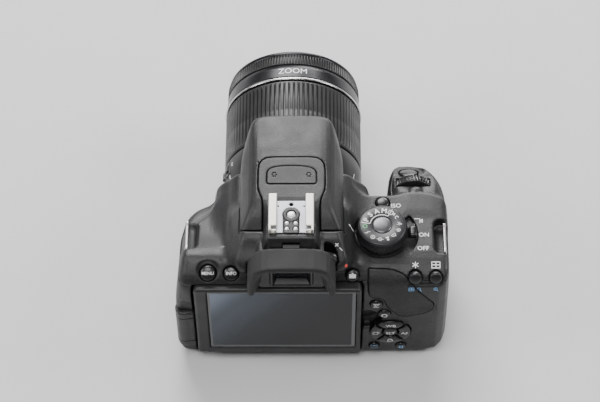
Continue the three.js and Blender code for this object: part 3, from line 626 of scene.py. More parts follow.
def side_door(name):
    low, high = DOORS[name]

    def field(x, y, z):
        skin = solid_body(x, y, z)
        d = smax(smax(skin, -(skin + 1.9), 0.2), rbox(x, y, z, low, high, 0.8), 0.4)
        if name == "card_door":
            ribs = meet(np.abs(np.mod(z + 100, 2.4) - 1.2) - 0.4, np.abs(y - low[1] - 3.5) - 1.6,
                        np.abs(z - (low[2] + high[2]) / 2) - 7)
            d = smax(d, -np.maximum(ribs, -skin - 0.35), 0.15)
        return d
    return field


def rubber(region, lift, d):
    """A thin skin in a region of the surface, a little proud of it."""
    return smax(smax(d - lift, -(d + 0.9), 0.3), region, 0.5)


def thumb_pad(x, y, z):
    return rubber(pad_region(x, y, z), 0.25, recessed_body(x, y, z))


def grip_rubber(x, y, z):
    return rubber(grip_region(x, y, z), 0.15, recessed_body(x, y, z))


def flash_housing(x, y, z):
    d = flash_form(x, y, z)
    d = smax(d, -hump_core(x, y, z, 0.42, 1.9), 0.15)
    hollow = rbox(x, y, z, (-18, 43.5, 60), (18, 61.5, 91), 2)
    return smax(d, -hollow, 0.4)


def moulding(name, field, low, high, node, body=BODY, mat=SHELL, fine=1.0):
    """A cover, door or rubber of the body."""
    form(name, field, low, high, STEP * fine, mat, body, [node])


moulding("top_shell", top_cover, (-59, -18, 64), (78, 60, 97), "top_cover", fine=0.66)
moulding("rear_shell", rear_cover, (-60, -17, 2), (79, -3, 66), "rear_cover", fine=0.8)
moulding("front_shell", front_cover, (-60, -5, 2), (79, 60, 66), "front_cover")
moulding("base_shell", base_plate, (-60, -17, -1), (79, 60, 4), "base_plate")
moulding("thumb_pad", thumb_pad, (35, -18, 33), (72, 3, 73), "thumb_rubber", mat=RUBBER)
moulding("grip_skin", grip_rubber, (43, 22, 7), (79, 60, 58), "grip_rubber", mat=RUBBER)
moulding("flash_shell", flash_housing, (-27, -6, 74), (27, 68, 97), "flash_housing", "flash", fine=0.66)


def microphone_plate(x, y, z):
    d = ext(poly(x, y, PLATE), z, TOP - 1.4, TOP - 0.05, 0.2)
    for px, py in MIC_HOLES:
        d = smax(d, -np.maximum(away(x - px, y - py) - 0.36, TOP - 0.9 - z), 0.08)
    return d


form("microphone_plate", microphone_plate, (-12, 23, TOP - 1.6), (12, 34, TOP + 0.1), 0.22, SHELL, BODY,
     ["microphone_cover"])
for name, mat in (("card_door", SHELL), ("terminal_door", RUBBER)):
    low, high = DOORS[name]
    low, high = (max(low[0], -60), low[1], low[2]), (min(high[0], 79), high[1], high[2])
    moulding(name + "_form", side_door(name), np.array(low) - 1, np.array(high) + 1, name, name, mat, 0.8)
moulding("battery_door_form", battery_door, BATTERY_LOW - 1, BATTERY_HIGH + 1, "battery_door", "battery_door")


# ---------------------------------------------------------------- turned pieces
def frame_on(at, axis, up=UP):
    """Placing whose Z is the axis and whose Y is as near up as it can be, in millimetres."""
    z = Vector(axis).normalized()
    x = Vector(up).cross(z)
    x = (x if x.length > 1e-4 else Vector((1, 0, 0))).normalized()
    y = z.cross(x)
    return Matrix(((x.x, y.x, z.x, at[0]), (x.y, y.y, z.y, at[1]), (x.z, y.z, z.z, at[2]), (0, 0, 0, 1)))


RIB_STEPS = 8


def turned(name, profile, place, n=96, ribs=0, share=0.5, sharp=3.0, closed=False):
    """A form turned about Z from (radius, height, rib depth) points, in millimetres."""
    steps = ribs * RIB_STEPS if ribs else n
    angle = np.arange(steps) * 2 * math.pi / steps
    wave = np.clip((np.cos(angle * ribs) - math.cos(math.pi * share)) * sharp, 0, 1)
    verts, rings = [], []
    for r, h, *rest in profile:
        depth = rest[0] if rest else 0
        if r <= 1e-6:
            rings.append([len(verts)])
            verts.append((0, 0, h))
            continue
        rings.append(list(range(len(verts), len(verts) + steps)))
        rr = r - depth * (1 - wave)
        verts.extend(zip(rr * np.cos(angle), rr * np.sin(angle), [h] * steps))
    faces = []
    pairs = list(zip(rings, rings[1:])) + ([(rings[-1], rings[0])] if closed else [])
    for a, b in pairs:
        for i in range(steps):
            j = (i + 1) % steps
            quad = [a[i % len(a)], a[j % len(a)], b[j % len(b)], b[i % len(b)]]
            quad = [v for k, v in enumerate(quad) if v not in quad[:k]]
            if len(quad) > 2:
                faces.append(quad)
    mesh = mesh_from(name, [tuple((place @ Vector([float(c) for c in v])) * MM) for v in verts], faces)
    made = bmesh.new()
    made.from_mesh(mesh)
    bmesh.ops.recalc_face_normals(made, faces=made.faces)
    made.to_mesh(mesh)
    made.free()
    return mesh


def spun(name, profile, place, mat, body=BODY, replaces=(), slot=None, angle=30, **more):
    """A turned piece whose smooth shading breaks at edges over an angle."""
    obj = piece(name, turned(name, profile, place, **more), mat, body, replaces)
    obj.data.set_sharp_from_angle(angle=math.radians(angle))


LENS = "lens"
FRONT_BARREL = "front_barrel"
LENS_PLACE = Matrix.Translation((0, 0, AXIS)) @ Matrix.Rotation(-math.pi / 2, 4, "X")


def lens_piece(name, profile, mat, body, replaces=(), slot="barrel_black", angle=40, **more):
    """A piece turned about the lens axis, from (radius, distance forward, rib depth) points."""
    spun(name, profile, LENS_PLACE, mat, body, replaces, slot, angle, **more)


lens_piece("fixed_barrel", [
    (24.8, 38.2), (26.8, 38.2), (26.8, 44.2), (30.6, 44.6), (30.9, 46.4), (31.6, 48.2), (33.3, 53),
    (34.1, 56.4), (34.45, 59), (34.5, 64.6), (34.2, 65.3), (33.4, 65.6), (33, 65.9), (31.4, 65.9),
    (31.4, 99.2), (30, 99.2), (30, 58), (24.8, 49)], BARREL, LENS, ["lens_barrel"], closed=True, n=128)
ZOOM = [(31.9, 66.4), (33.3, 66.4), (34.1, 66.8), (34.35, 67.4), (34.4, 68.2), (34.4, 68.5, 0.2),
        (34.45, 69.1, 0.85)]
ZOOM += [(34.45, y, 0.85) for y in (75, 81.4)] + [(34.3, 81.9, 0.7), (34.45, 82.4, 0.85)]
ZOOM += [(34.45, y, 0.85) for y in (90, 97.6)]
ZOOM += [(34.4, 98.4, 0.2), (34.4, 98.7), (34.2, 99.5), (33.6, 99.8), (31.9, 99.8)]
lens_piece("zoom_grip", ZOOM, RIBS, "zoom_ring", ["zoom_ring"], "soft_rubber", ribs=91, share=0.68, sharp=2.6,
           closed=True)
lens_piece("front_tube", [
    (28.2, 64.2), (29.3, 64.2), (29.3, 100.3), (34.3, 100.3), (34.3, 102.2), (34.55, 102.5), (34.35, 104),
    (33.95, 108), (33.6, 110.1), (33.2, 110.5), (31, 110.5), (31, 117), (32.9, 117), (33.15, 117.3),
    (33.15, 118.7), (32.9, 119.2), (32.4, 119.25), (31.6, 118.7), (30.9, 118.5), (30.7, 117.7),
    (30.3, 117.7), (30.1, 116.9), (29.7, 116.9), (29.5, 116.1), (29.1, 116.1), (28.4, 114.6), (27.5, 114.4),
    (25.4, 112.6), (25, 112.7), (22.6, 111.6), (21.3, 111.5), (21.3, 109.7), (28.2, 107)], BAND, FRONT_BARREL,
    ["front_barrel"], closed=True, n=160)
lens_piece("silver_trim", [
    (34, 100.5), (34.7, 100.55), (34.9, 100.8), (34.9, 101.4), (34.65, 101.7), (34, 101.75)],
    RING, FRONT_BARREL, closed=True, n=160)
FOCUS = [(31.35, 110.8), (33.2, 110.85), (33.65, 111.1), (33.75, 111.3, 0.2), (33.85, 111.5, 0.75),
         (33.75, 116.2, 0.75), (33.65, 116.4, 0.2), (33.3, 116.6), (32.9, 116.7), (31.35, 116.7)]
lens_piece("focus_grip", FOCUS, RIBS, "focus_ring", ["focus_ring"], ribs=144, share=0.6, sharp=2, closed=True)
lens_piece("front_glass", [
    (0, 105.2), (20.6, 107.2), (20.9, 110), (19.6, 111.2), (17, 112.3), (13, 113.4), (9, 114.1), (5, 114.45),
    (0, 114.55)], GLASS, FRONT_BARREL, ["front_element"], "lens_glass", n=96)
lens_piece("inner_rings", [(20.95, 108), (21.2, 108), (21.25, 111.8), (20.9, 111.8), (20.7, 111.2)], SMOOTH,
           FRONT_BARREL, closed=True)


def block(name, low, high, mat, body, replaces=(), slot=None, edge=0.3, place=Matrix()):
    """A block between two corners with bevelled edges, in millimetres."""
    (x0, y0, _), (x1, y1, _) = low, high
    verts = [(x, y, z) for z in (low[2], high[2]) for x, y in ((x0, y0), (x1, y0), (x1, y1), (x0, y1))]
    faces = [(3, 2, 1, 0), (4, 5, 6, 7), (0, 1, 5, 4), (1, 2, 6, 5), (2, 3, 7, 6), (3, 0, 4, 7)]
    mesh = mesh_from(name, [tuple((place @ Vector(v)) * MM) for v in verts], faces)
    obj = piece(name, mesh, mat, body, replaces)
    mod = obj.modifiers.new("bevel", "BEVEL")
    mod.width = edge * MM
    mod.segments = 3
    mod.limit_method = "ANGLE"
    mod.angle_limit = math.radians(35)
    mod.harden_normals = True
    return obj


for node, rise in (("focus_mode_switch", 20), ("stabiliser_switch", 8)):
    place = Matrix.Translation((0, 61, AXIS)) @ Matrix.Rotation(math.radians(rise), 4, "Y")
    block(node + "_bed", (-34.7, -3.9, -2.6), (-33.6, 3.9, 2.6), SMOOTH, LENS, edge=0.4, place=place)
    block(node + "_knob", (-35.5, -1.9, -1.3), (-34.3, 1.9, 1.3), KEYS, node, [node], "control_black", 0.35,
          place)
lens_piece("mount_flange", [
    (27.5, 42.6), (33.5, 42.6), (33.6, 42.8), (33.6, 43.7), (33.4, 43.95), (27.7, 43.95), (27.5, 43.8)],
    CHROME, BODY, ["body_mount_ring"], "mount_steel", 30, closed=True, n=128)

# ---------------------------------------------------------------- mode dial, lever, wheel
DIAL_PLACE = Matrix.Translation(DIAL_FOOT)
spun("mode_dial_skirt", [
    (0, 66), (2, 66), (2, 72.4), (12, 72.4), (12.4, 72.7), (12.5, 73, 0.1), (12.45, 73.4, 0.55),
    (11.8, 76.5, 0.5), (11.65, 76.9, 0.1), (11.4, 77.6), (11.0, 77.95), (10.7, 78.05), (10.5, 77.9),
    (0, 77.8)],
    DIAL_PLACE, DIALTOP, "mode_dial", ["mode_dial"], "dial_grey", 45, ribs=84, share=0.55, sharp=1.8)
spun("mode_dial_face", [(4.9, 77.7), (10.45, 77.7), (10.45, 78.12), (10.25, 78.2), (5.1, 78.2), (4.9, 78.1)],
     DIAL_PLACE, DIALTOP, "mode_dial", closed=True)
spun("mode_dial_cap", [(0, 78.75), (2.2, 78.7), (3.8, 78.5), (4.4, 78.3), (4.65, 78.0), (4.7, 77.6),
                       (0, 77.6)],
     DIAL_PLACE, CAP, "mode_dial", angle=50)
spun("main_wheel", [
    (0, -2.6), (9.6, -2.6), (10.1, -2.4), (10.5, -2.0, 0.1), (10.6, -1.6, 0.75), (10.6, 1.6, 0.75),
    (10.5, 2.0, 0.1), (10.1, 2.4), (9.6, 2.6), (0, 2.6)],
    frame_on(WHEEL_AT, WHEEL_AXIS), KEYS, "main_dial", ["main_dial"], "control_black", 45, ribs=44,
    share=0.55, sharp=2.2)


def lever(x, y, z):
    px, py = x - DIAL_AT[0], y - DIAL_AT[1]
    flat = ext(away(px, py) - 12.0, z, 70.35, 71.9, 0.3)
    arm = rbox(px, py, z, (9, -2.6, 70.35), (16.6, 2.6, 71.9), 0.5)
    knob = rbox(px, py, z, (12.9, -3.2, 70.4), (16.8, 3.2, 73.6), 1.5)
    return np.maximum(smin(np.minimum(flat, arm), knob, 0.8), 2.5 - away(px, py))


form("lever_form", lever, (30.5, -2.5, 70), (60.5, 23.5, 74), 0.35, KEYS, "power_lever", ["power_lever"])
spun("diopter_wheel", [
    (0, -1.4), (4.6, -1.4), (5.2, -1.3), (5.55, -1.0, 0.3), (5.6, 1.0, 0.3), (5.2, 1.3), (4.6, 1.4),
    (0, 1.4)],
    frame_on(middle("diopter_dial"), BACK), KEYS, "diopter_dial", ["diopter_dial"], "control_black", 45,
    ribs=36)

# ---------------------------------------------------------------- buttons
# Height of each crown over its CAD centre, in mm.
CROWNS = {"ae_lock_button": 1.2, "af_point_button": 1.2, "shutter_button": 1.0, "lens_release_button": 4.4,
          "flash_button": 3.2}
SQUARE_CROWN, TILTED_CROWN = 1.85, 1.6  # the other buttons, by whether their face is square to the body
SATIN_BUTTONS = ("ae_lock_button", "af_point_button")
for name, (at, axis, radius) in BUTTONS.items():
    tilt = abs(math.degrees(math.asin(min(1, abs(axis[1])))))
    top = CROWNS.get(name, SQUARE_CROWN if tilt in (0, 90) else TILTED_CROWN)
    r = radius - 0.02
    dome = [(0, top + 0.35), (r * 0.35, top + 0.31), (r * 0.65, top + 0.16), (r * 0.84, top - 0.06),
            (r * 0.95, top - 0.4), (r, top - 0.85), (r, -1.1), (0, -1.1)]
    spun(name + "_cap", dome, frame_on(at, axis, FORWARD), SMOOTH if name in SATIN_BUTTONS else KEYS, name,
         [name], "control_black", 60, n=56)


def key_field(angle):
    ca, sa = math.cos(math.radians(angle)), math.sin(math.radians(angle))

    def field(x, y, z):
        px, pz = x - KEY_X, z - KEY_Z
        r = away(px, pz)
        along, across = px * ca + pz * sa, np.abs(-px * sa + pz * ca)
        flat = smax(smax(r - 9.85, 4.35 - r, 0.3), (across - along) / ROOT_2 + 0.75, 0.8)
        crown = REAR - 0.95 + 0.09 * np.abs(r - 7.4) ** 1.5
        return smax(smax(flat, crown - y, 0.5), y + 11.6, 0.1)
    return field


for i, name in enumerate(("key_right", "key_up", "key_left", "key_down")):
    low, high = span(name)
    form(name + "_cap", key_field(90 * i), low - 0.6, high + 0.6, 0.32, KEYS, name, [name])

# ---------------------------------------------------------------- accessory shoe
SHOE_TOP = span("hot_shoe_rails")[1][2]
CONTACTS = [(-2.05, -0.2), (2.05, -0.2), (-2.05, -3.3), (2.05, -3.3)]


def shoe(x, y, z):
    ax = np.abs(x)
    wall = rbox(ax, y, z, (9.3, -5.6, 94.8), (10.6, 15.1, SHOE_TOP), 0.35)
    lip = rbox(ax, y, z, (6.7, -3.0, SHOE_TOP - 1.0), (10.6, 15.1, SHOE_TOP), 0.35)
    tab = rbox(ax, y, z, (6.9, -5.6, 94.8), (10.6, -4.7, SHOE_TOP - 0.5), 0.25)
    tab = np.maximum(tab, -rbox(ax, y, z, (7.6, -7, SHOE_TOP - 2.2), (9.3, -3, SHOE_TOP - 1.1), 0.1))
    return np.minimum(np.minimum(wall, lip), tab)


def shoe_bed(x, y, z):
    d = rbox(x, y, z, (-9.25, -5.5, 94.9), (9.25, 12.4, 95.9), 0.15)
    slot = np.minimum(rbox(x, y, z, (-3.75, -9, 90), (3.75, 4.5, 99), 0.2),
                      np.maximum(away(x, y - 4.5) - 4.05, 90 - z))
    for hollow in (slot, away(x, y - 10.3) - 0.95, away(np.abs(x) - 6.1, y - 9.2) - 0.3):
        d = smax(d, -hollow, 0.1)
    return d


def shoe_plastic(x, y, z):
    strip = rbox(x, y, z, (-3.5, -5.7, 94.9), (3.5, 4.5, 95.95), 0.2)
    centre = away(x, y - 4.5)
    well = centre - 2.35
    for px, py in CONTACTS:
        well = np.minimum(well, away(x - px, y - py) - 1.3)
    d = smin(strip, ext(centre - 3.8, z, 94.9, 96.15, 0.3), 0.3)
    return smax(d, -np.maximum(well, 95.4 - z), 0.15)


form("shoe_rails", shoe, (-11, -6, 94.4), (11, 15.5, SHOE_TOP + 0.3), 0.26, RAIL, BODY, ["hot_shoe_rails"])
form("shoe_bed", shoe_bed, (-9.6, -6, 94.6), (9.6, 12.8, 96.2), 0.26, BED)
# A near-black sheet in the gap at the shoe's front: painted shade standing in for the shadow in that gap.
block("shoe_throat", (-9.2, 12.5, 94.7), (9.2, 15.0, 95.2), BLACK_AND_SHADE, BODY, edge=0.1)
form("shoe_plastic", shoe_plastic, (-4.2, -6, 94.6), (4.2, 8.8, 96.4), 0.22, SMOOTH, BODY,
     ["hot_shoe_contacts"])
for i, (px, py, r) in enumerate([(0, 4.5, 2.1)] + [(x, y, 1.12) for x, y in CONTACTS]):
    dome = [(0, 0.72), (r * 0.5, 0.7), (r * 0.8, 0.6), (r * 0.94, 0.42), (r, 0.2), (r, 0), (0, 0)]
    spun(f"shoe_contact_{i}", dome, Matrix.Translation((px, py, 95.5)), PLATED, angle=50, n=40)
block("shoe_sensor_window", (-3.9, -12.3, 90.4), (3.9, -10.2, 93.0), BLACK_AND_SHADE, BODY, edge=0.2)

# ---------------------------------------------------------------- eyecup and eyepiece
CUP = mirrored([(16.4, 60), (16.4, 67.4, 2), (20.7, 67.4, 3.5), (20.9, 82, 9), (15.5, 92.4, 9)])
MOUTH = mirrored([(18.3, 40), (18.6, 80, 8), (13.8, 90.4, 8)])


def eyecup(x, y, z):
    lean = (y + 17) * 0.16
    d = ext(poly(x, z - lean, CUP), y, -23.4, -11.7, 1.6)
    inward = np.clip((y + 23.2) / 5.4, 0, 1)
    mouth = poly(x * (1 + 0.19 * inward), z - lean + 6.4 * inward, MOUTH)
    d = smax(smax(d, -np.maximum(mouth, y + 15) * 0.8, 0.5), 67.6 - z, 1.6)
    return smax(d, -rbox(x, y, z, (-16.75, -17.35, 50), (16.75, 4, 85.9), 2.4), 0.2)


form("eyecup_form", eyecup, (-22, -24.5, 65), (22, -11, 95), 0.42, SOFT, "eyecup", ["eyecup"])
EYE = mirrored([(9.9, 66.6, 1.5), (9.9, 79.4, 1.5)])


def eye_frame(x, y, z):
    slope = np.clip((y + 16.8) / 3.2, 0, 1) * 1.7
    outline = poly(x, z, EYE)
    return meet(outline, -(outline + 0.9 + slope), np.abs(y + 14.2) - 2.6)


form("eyepiece_frame", eye_frame, (-11, -17.4, 66), (11, -11.2, 80), 0.33, SMOOTH)
glass = block("eyepiece_glass", (-8.4, -13.2, 68.0), (8.4, -12.6, 78.0), GLASS, BODY, ["eyepiece_lens"],
              "lens_glass", 0.2)
glass.data.set_sharp_from_angle(angle=math.radians(30))

# ---------------------------------------------------------------- screen
def screen_case(x, y, z):
    low, high = SCREEN_LOW + (0, -0.9, 1.6), SCREEN_HIGH + (0, 0, 1.4)
    case = rbox(x, y, z, low, high, 1.5)
    case = np.maximum(case, ext(poly(x, z, CASE_PLAN), y, low[1] - 0.2, high[1], 1.5))
    window = poly(x, z, WINDOW) - 0.25
    opening = ext(window, y, -40, low[1] + 1.25, 0)
    slope = np.maximum((low[1] + 0.9 - y) * 0.5, 0)
    return smax(case, -np.minimum(opening, np.maximum(window - slope, y - low[1] - 0.9)), 0.25)


CASE_PLAN = rounded([(SCREEN_LOW[0], SCREEN_LOW[2] + 1.6, 3), (SCREEN_HIGH[0], SCREEN_LOW[2] + 1.6, 3),
                     (SCREEN_HIGH[0], SCREEN_HIGH[2] + 1.4, 3), (SCREEN_LOW[0], SCREEN_HIGH[2] + 1.4, 3)])
WINDOW = rounded([(-40.4, 11.6, 0.8), (30.6, 11.6, 0.8), (30.6, 62.0, 0.8), (-40.4, 62.0, 0.8)])
form("screen_form", screen_case, SCREEN_LOW - (1, 2, 1), SCREEN_HIGH + (1, 1, 3), 0.5, CASE, "screen",
     ["screen_case"])
block("screen_border", (-40.4, SCREEN_LOW[1] - 0.35, 11.6), (30.6, SCREEN_LOW[1] + 0.3, 62.0), GLASS,
      "screen", ["screen_window"], "screen_cover", 0.15)
block("screen_display", (-39.2, SCREEN_LOW[1] - 0.42, 12.9), (28.9, SCREEN_LOW[1] - 0.2, 61.1), DISPLAY,
      "screen", edge=0.04)


def hinge_form(x, y, z):
    low, high = HINGE_LOW, HINGE_HIGH
    d = rod(x, y, z, HINGE_FOOT, UP, 4.25, low[2], high[2], 0.5)
    d = smin(d, rbox(x, y, z, (-55.4, -16.7, low[2]), (-47.4, -10.8, high[2]), 1.2), 1.0)
    seam = np.minimum(np.abs(z - low[2] - 4.5), np.abs(z - high[2] + 4.5)) - 0.2
    d = smax(d, -np.maximum(seam, -d - 0.6), 0.1)
    return np.minimum(d, rod(x, y, z, (0, -13, 33.7), (1, 0, 0), 1.8, -48, -44, 0.2))


form("hinge_form", hinge_form, (-58, -18, 11), (-43, -7, 42), 0.42, SHELL, "screen", ["screen_hinge"])

# ---------------------------------------------------------------- strap lugs
for name, at in (("strap_lug_left", -50.4), ("strap_lug_right", 73.2)):
    y0, y1 = (corner[1] for corner in span(name))

    def lug(x, y, z, at=at, y0=y0, y1=y1):
        bar, back, front = (rbox(x, y, z, (at - 0.7, a, low), (at + 0.7, b, 68.9), 0.5) for a, b, low in (
            (y0, y1, 66.6), (y0, y0 + 1.9, 62.6), (y1 - 1.9, y1, 62.6)))
        return smin(bar, np.minimum(back, front), 0.6)

    form(name + "_loop", lug, (at - 5, y0 - 1, 62), (at + 5, y1 + 1, 70), 0.3, LUG, BODY, [name])

# ---------------------------------------------------------------- looks of the kept CAD nodes
for node, mat in (
    ("mirror_box", BLACK_AND_SHADE), ("viewfinder_prism", SMOOTH), ("shutter_unit", SMOOTH), ("image_sensor", GLASS),
    ("main_board", BOARD), ("battery_pack", KEYS), ("memory_card", KEYS), ("tripod_socket", CHROME),
    ("flash_window", WHITE), ("mirror", CHROME),
):
    kept = bpy.data.objects[node].data.materials
    kept.clear()
    kept.append(mat)

# ---------------------------------------------------------------- marks laid on the surfaces
def disc(x, y, r, n=16):
    rim = [(x + r * math.cos(a), y + r * math.sin(a)) for a in np.arange(n + 1) * 2 * math.pi / n]
    return [[(x, y), a, b] for a, b in zip(rim, rim[1:])]


def line(points, width):
    """A stroke through points, with round ends and bends."""
    out = []
    for (ax, ay), (bx, by) in zip(points, points[1:]):
        length = max(math.hypot(bx - ax, by - ay), 1e-9)
        nx, ny = -(by - ay) / length * width / 2, (bx - ax) / length * width / 2
        steps = max(1, int(length / 1.2))
        for i in range(steps):
            p, q = i / steps, (i + 1) / steps
            cx, cy, dx, dy = ax + (bx - ax) * p, ay + (by - ay) * p, ax + (bx - ax) * q, ay + (by - ay) * q
            out.append([(cx + nx, cy + ny), (cx - nx, cy - ny), (dx - nx, dy - ny), (dx + nx, dy + ny)])
        out += disc(bx, by, width / 2, 8) + disc(ax, ay, width / 2, 8)
    return out


def ring(x, y, r, width, start=0, end=360, n=32):
    angles = np.radians(np.linspace(start, end, n))
    inner, outer = r - width / 2, r + width / 2
    return [[(x + q * math.cos(a), y + q * math.sin(a)) for q, a in (
        (inner, a0), (outer, a0), (outer, a1), (inner, a1))] for a0, a1 in zip(angles, angles[1:])]


def frame_of(x0, y0, x1, y1, width):
    return line([(x0, y0), (x1, y0), (x1, y1), (x0, y1), (x0, y0)], width)


def text(body, size, bold=0.012):
    """Generic lettering of a given height, thickened by a share of it."""
    curve = bpy.data.curves.new("mark", "FONT")
    curve.body = body
    curve.size = size
    curve.offset = bold * size
    curve.resolution_u = 3
    curve.align_x = "CENTER"
    obj = bpy.data.objects.new("mark", curve)
    mesh = obj.to_mesh()
    mid = 0.36 * size
    spots = [(v.co.x, v.co.y - mid) for v in mesh.vertices]
    out = [[spots[i] for i in face.vertices] for face in mesh.polygons]
    obj.to_mesh_clear()
    bpy.data.objects.remove(obj)
    bpy.data.curves.remove(curve)
    return out


def moved(shape, x=0, y=0, turn=0, size=1):
    c, s = math.cos(math.radians(turn)) * size, math.sin(math.radians(turn)) * size
    return [[(x + px * c - py * s, y + px * s + py * c) for px, py in face] for face in shape]


LOUPE = ring(-0.2, 0.2, 0.8, 0.25) + line([(0.4, -0.4), (1.1, -1.1)], 0.35)
LOUPE += line([(-0.6, 0.2), (0.2, 0.2)], 0.2)
ICONS = {
    "movie": frame_of(-1.5, -1, 0.7, 1, 0.3) + line([(0.9, 0), (1.7, 0.8), (1.7, -0.8), (0.9, 0)], 0.3),
    "camera": [[(x, -1.1), (x + 0.4, -1.1), (x + 0.4, y), (x, y)] for x, y in zip(
        np.arange(-1.6, 1.5, 0.4), (0.9, 0.9, 0.9, 1.4, 1.4, 0.9, 0.9, 0.9))],
    "star": line([(0, -1), (0, 1)], 0.3) + line([(-0.9, -0.5), (0.9, 0.5)], 0.3)
    + line([(-0.9, 0.5), (0.9, -0.5)], 0.3),
    "grid": frame_of(-1.5, -1.1, 1.5, 1.1, 0.34) + line([(0, -1.1), (0, 1.1)], 0.34)
    + line([(-1.5, 0), (1.5, 0)], 0.34),
    "magnify_more": LOUPE + line([(-0.2, -0.2), (-0.2, 0.6)], 0.2),
    "magnify_less": LOUPE,
    "exposure": frame_of(-1.2, -1.2, 1.2, 1.2, 0.25) + line([(-1.2, -1.2), (1.2, 1.2)], 0.22)
    + line([(-0.9, 0.5), (-0.1, 0.5)], 0.2) + line([(-0.5, 0.1), (-0.5, 0.9)], 0.2)
    + line([(0.1, -0.6), (0.8, -0.6)], 0.2),
    "play": frame_of(-1.4, -1, 1.4, 1, 0.24) + [[(-0.45, -0.6), (0.6, 0), (-0.45, 0.6)]],
    "bin": line([(-0.9, 0.8), (0.9, 0.8)], 0.28)
    + line([(-0.7, 0.6), (-0.55, -1.1), (0.55, -1.1), (0.7, 0.6)], 0.26) + line([(0, 0.4), (0, -0.8)], 0.2),
    "drive": frame_of(-1.3, -0.9, 0.6, 0.5, 0.24) + line([(-0.9, 0.9), (1.1, 0.9), (1.1, -0.5)], 0.24),
    "style": ring(0, 0, 0.95, 0.24) + disc(-0.4, 0.3, 0.2) + disc(0.4, 0.3, 0.2) + disc(0, -0.45, 0.2),
    "face": disc(0, 0.5, 0.55) + [[(-0.95, -1), (0.95, -1), (0.5, -0.2), (-0.5, -0.2)]],
    "hill": line([(-1.2, -0.8), (-0.3, 0.8), (0.3, -0.1), (0.6, 0.4), (1.3, -0.8), (-1.2, -0.8)], 0.26),
    "bloom": disc(0, 0.1, 0.32) + ring(0, 0.1, 0.8, 0.24) + line([(0, -0.6), (0, -1.2)], 0.26),
    "runner": disc(0.3, 0.9, 0.3) + line([(0.3, 0.5), (-0.2, -0.2), (0.6, -0.6), (0.3, -1.1)], 0.28)
    + line([(-0.8, 0.2), (0.1, 0.4), (0.9, 0)], 0.24) + line([(-0.2, -0.2), (-0.9, -0.7)], 0.26),
    "moon": ring(0, 0, 0.75, 0.32, 60, 300),
    "bolt_off": ring(0, 0, 0.95, 0.24) + line([(-0.6, 0.6), (0.6, -0.6)], 0.24),
    "bolt": line([(0.3, 1.2), (-0.4, 0), (0.3, 0), (-0.3, -1.2)], 0.32),
    "box": frame_of(-0.9, -0.9, 0.9, 0.9, 0.34),
    "plane": ring(0, 0, 0.8, 0.22) + line([(-1.6, 0), (1.6, 0)], 0.22),
}


def icon(name, size=1, turn=0):
    return moved(ICONS[name], size=size, turn=turn)


RAY_START = 8  # mm above the drawing's plane
RAY_LENGTH = 20


class Surface:
    """The surface of some pieces, for marks to be laid on."""

    def __init__(self, *names):
        verts, faces = [], []
        for name in names:
            mesh = bpy.data.objects[name].data
            base = len(verts)
            verts += [tuple(v.co / MM) for v in mesh.vertices]
            faces += [[base + i for i in face.vertices] for face in mesh.polygons]
        self.tree = BVHTree.FromPolygons(verts, faces)

    def lay(self, point, normal, lift):
        """The place straight below a point, raised by lift, or None where the surface is missed."""
        hit = self.tree.ray_cast(Vector(point) + normal * RAY_START, -normal, RAY_LENGTH)
        return None if hit[0] is None else hit[0] + normal * lift


MARKS = {}


def stamp(surface, shape, at, normal, mat, body=BODY, up=FORWARD, lift=0.1):
    """Lays a flat drawing on a surface, looking along -normal with up at the top."""
    n = Vector(normal).normalized()
    u = Vector(up).cross(n).normalized()
    v = n.cross(u)
    verts, faces = MARKS.setdefault((body, mat.name), ([], []))
    for face in shape:
        laid = [surface.lay(Vector(at) + u * x + v * y, n, lift) for x, y in face]
        if None in laid:
            continue
        faces.append(list(range(len(verts), len(verts) + len(laid))))
        verts.extend(tuple(p * MM) for p in laid)


def stamps(surface, normal, *rows, **more):
    """Lays several (drawing, x, y, z, material) rows that look the same way."""
    for shape, x, y, z, mat in rows:
        stamp(surface, shape, (x, y, z), normal, mat, **more)


body_surface = Surface("top_shell", "rear_shell", "thumb_pad", "grip_skin")
MINUS = line([(-0.8, 0), (0.8, 0)], 0.45)
stamps(body_surface, UP,
       (text("ISO", 3.2), 50.2, 27.0, 70, WHITE),
       (icon("movie", 1.2), 60.6, 18.1, 70, WHITE),
       (text("ON", 3.2), 63.2, 10.1, 70, WHITE),
       (text("OFF", 3.2), 62.6, 2.4, 70, WHITE),
       (icon("star", 1.4), 58.7, -6.4, 70, WHITE),
       (icon("grid", 1.3), 68.4, -6.4, 70, WHITE),
       (moved(line([(-1.3, 0), (1.0, 0)], 0.7), turn=-32), 28.6, 9.9, 72, WHITE),
       (icon("plane", 0.8), -33, 1.5, 70, GREY))
stamps(body_surface, (0.15, -0.53, 0.83),
       (disc(0, 0, 0.8), 25.2, -9.8, 74, RED),
       (moved(MINUS, turn=-40), 22.8, -4.4, 80, WHITE),
       (moved(MINUS + line([(0, -0.8), (0, 0.8)], 0.45), turn=-40), 20.8, -2.6, 81, WHITE))
# The speaker holes are dark discs: painted shade standing in for the shadow inside each hole.
for x, z in SPEAKER:
    stamp(body_surface, disc(0, 0, 0.42), (x, REAR, z), BACK, BLACK_AND_SHADE, up=UP, lift=0.03)
stamps(body_surface, (0, -0.7, 0.7),
       (icon("grid", 0.8), 56.9, -14.5, 60.4, BLUE),
       (icon("magnify_less"), 60.6, -14.5, 60.2, BLUE),
       (icon("magnify_more"), 68.6, -14.5, 60.2, BLUE), up=UP)

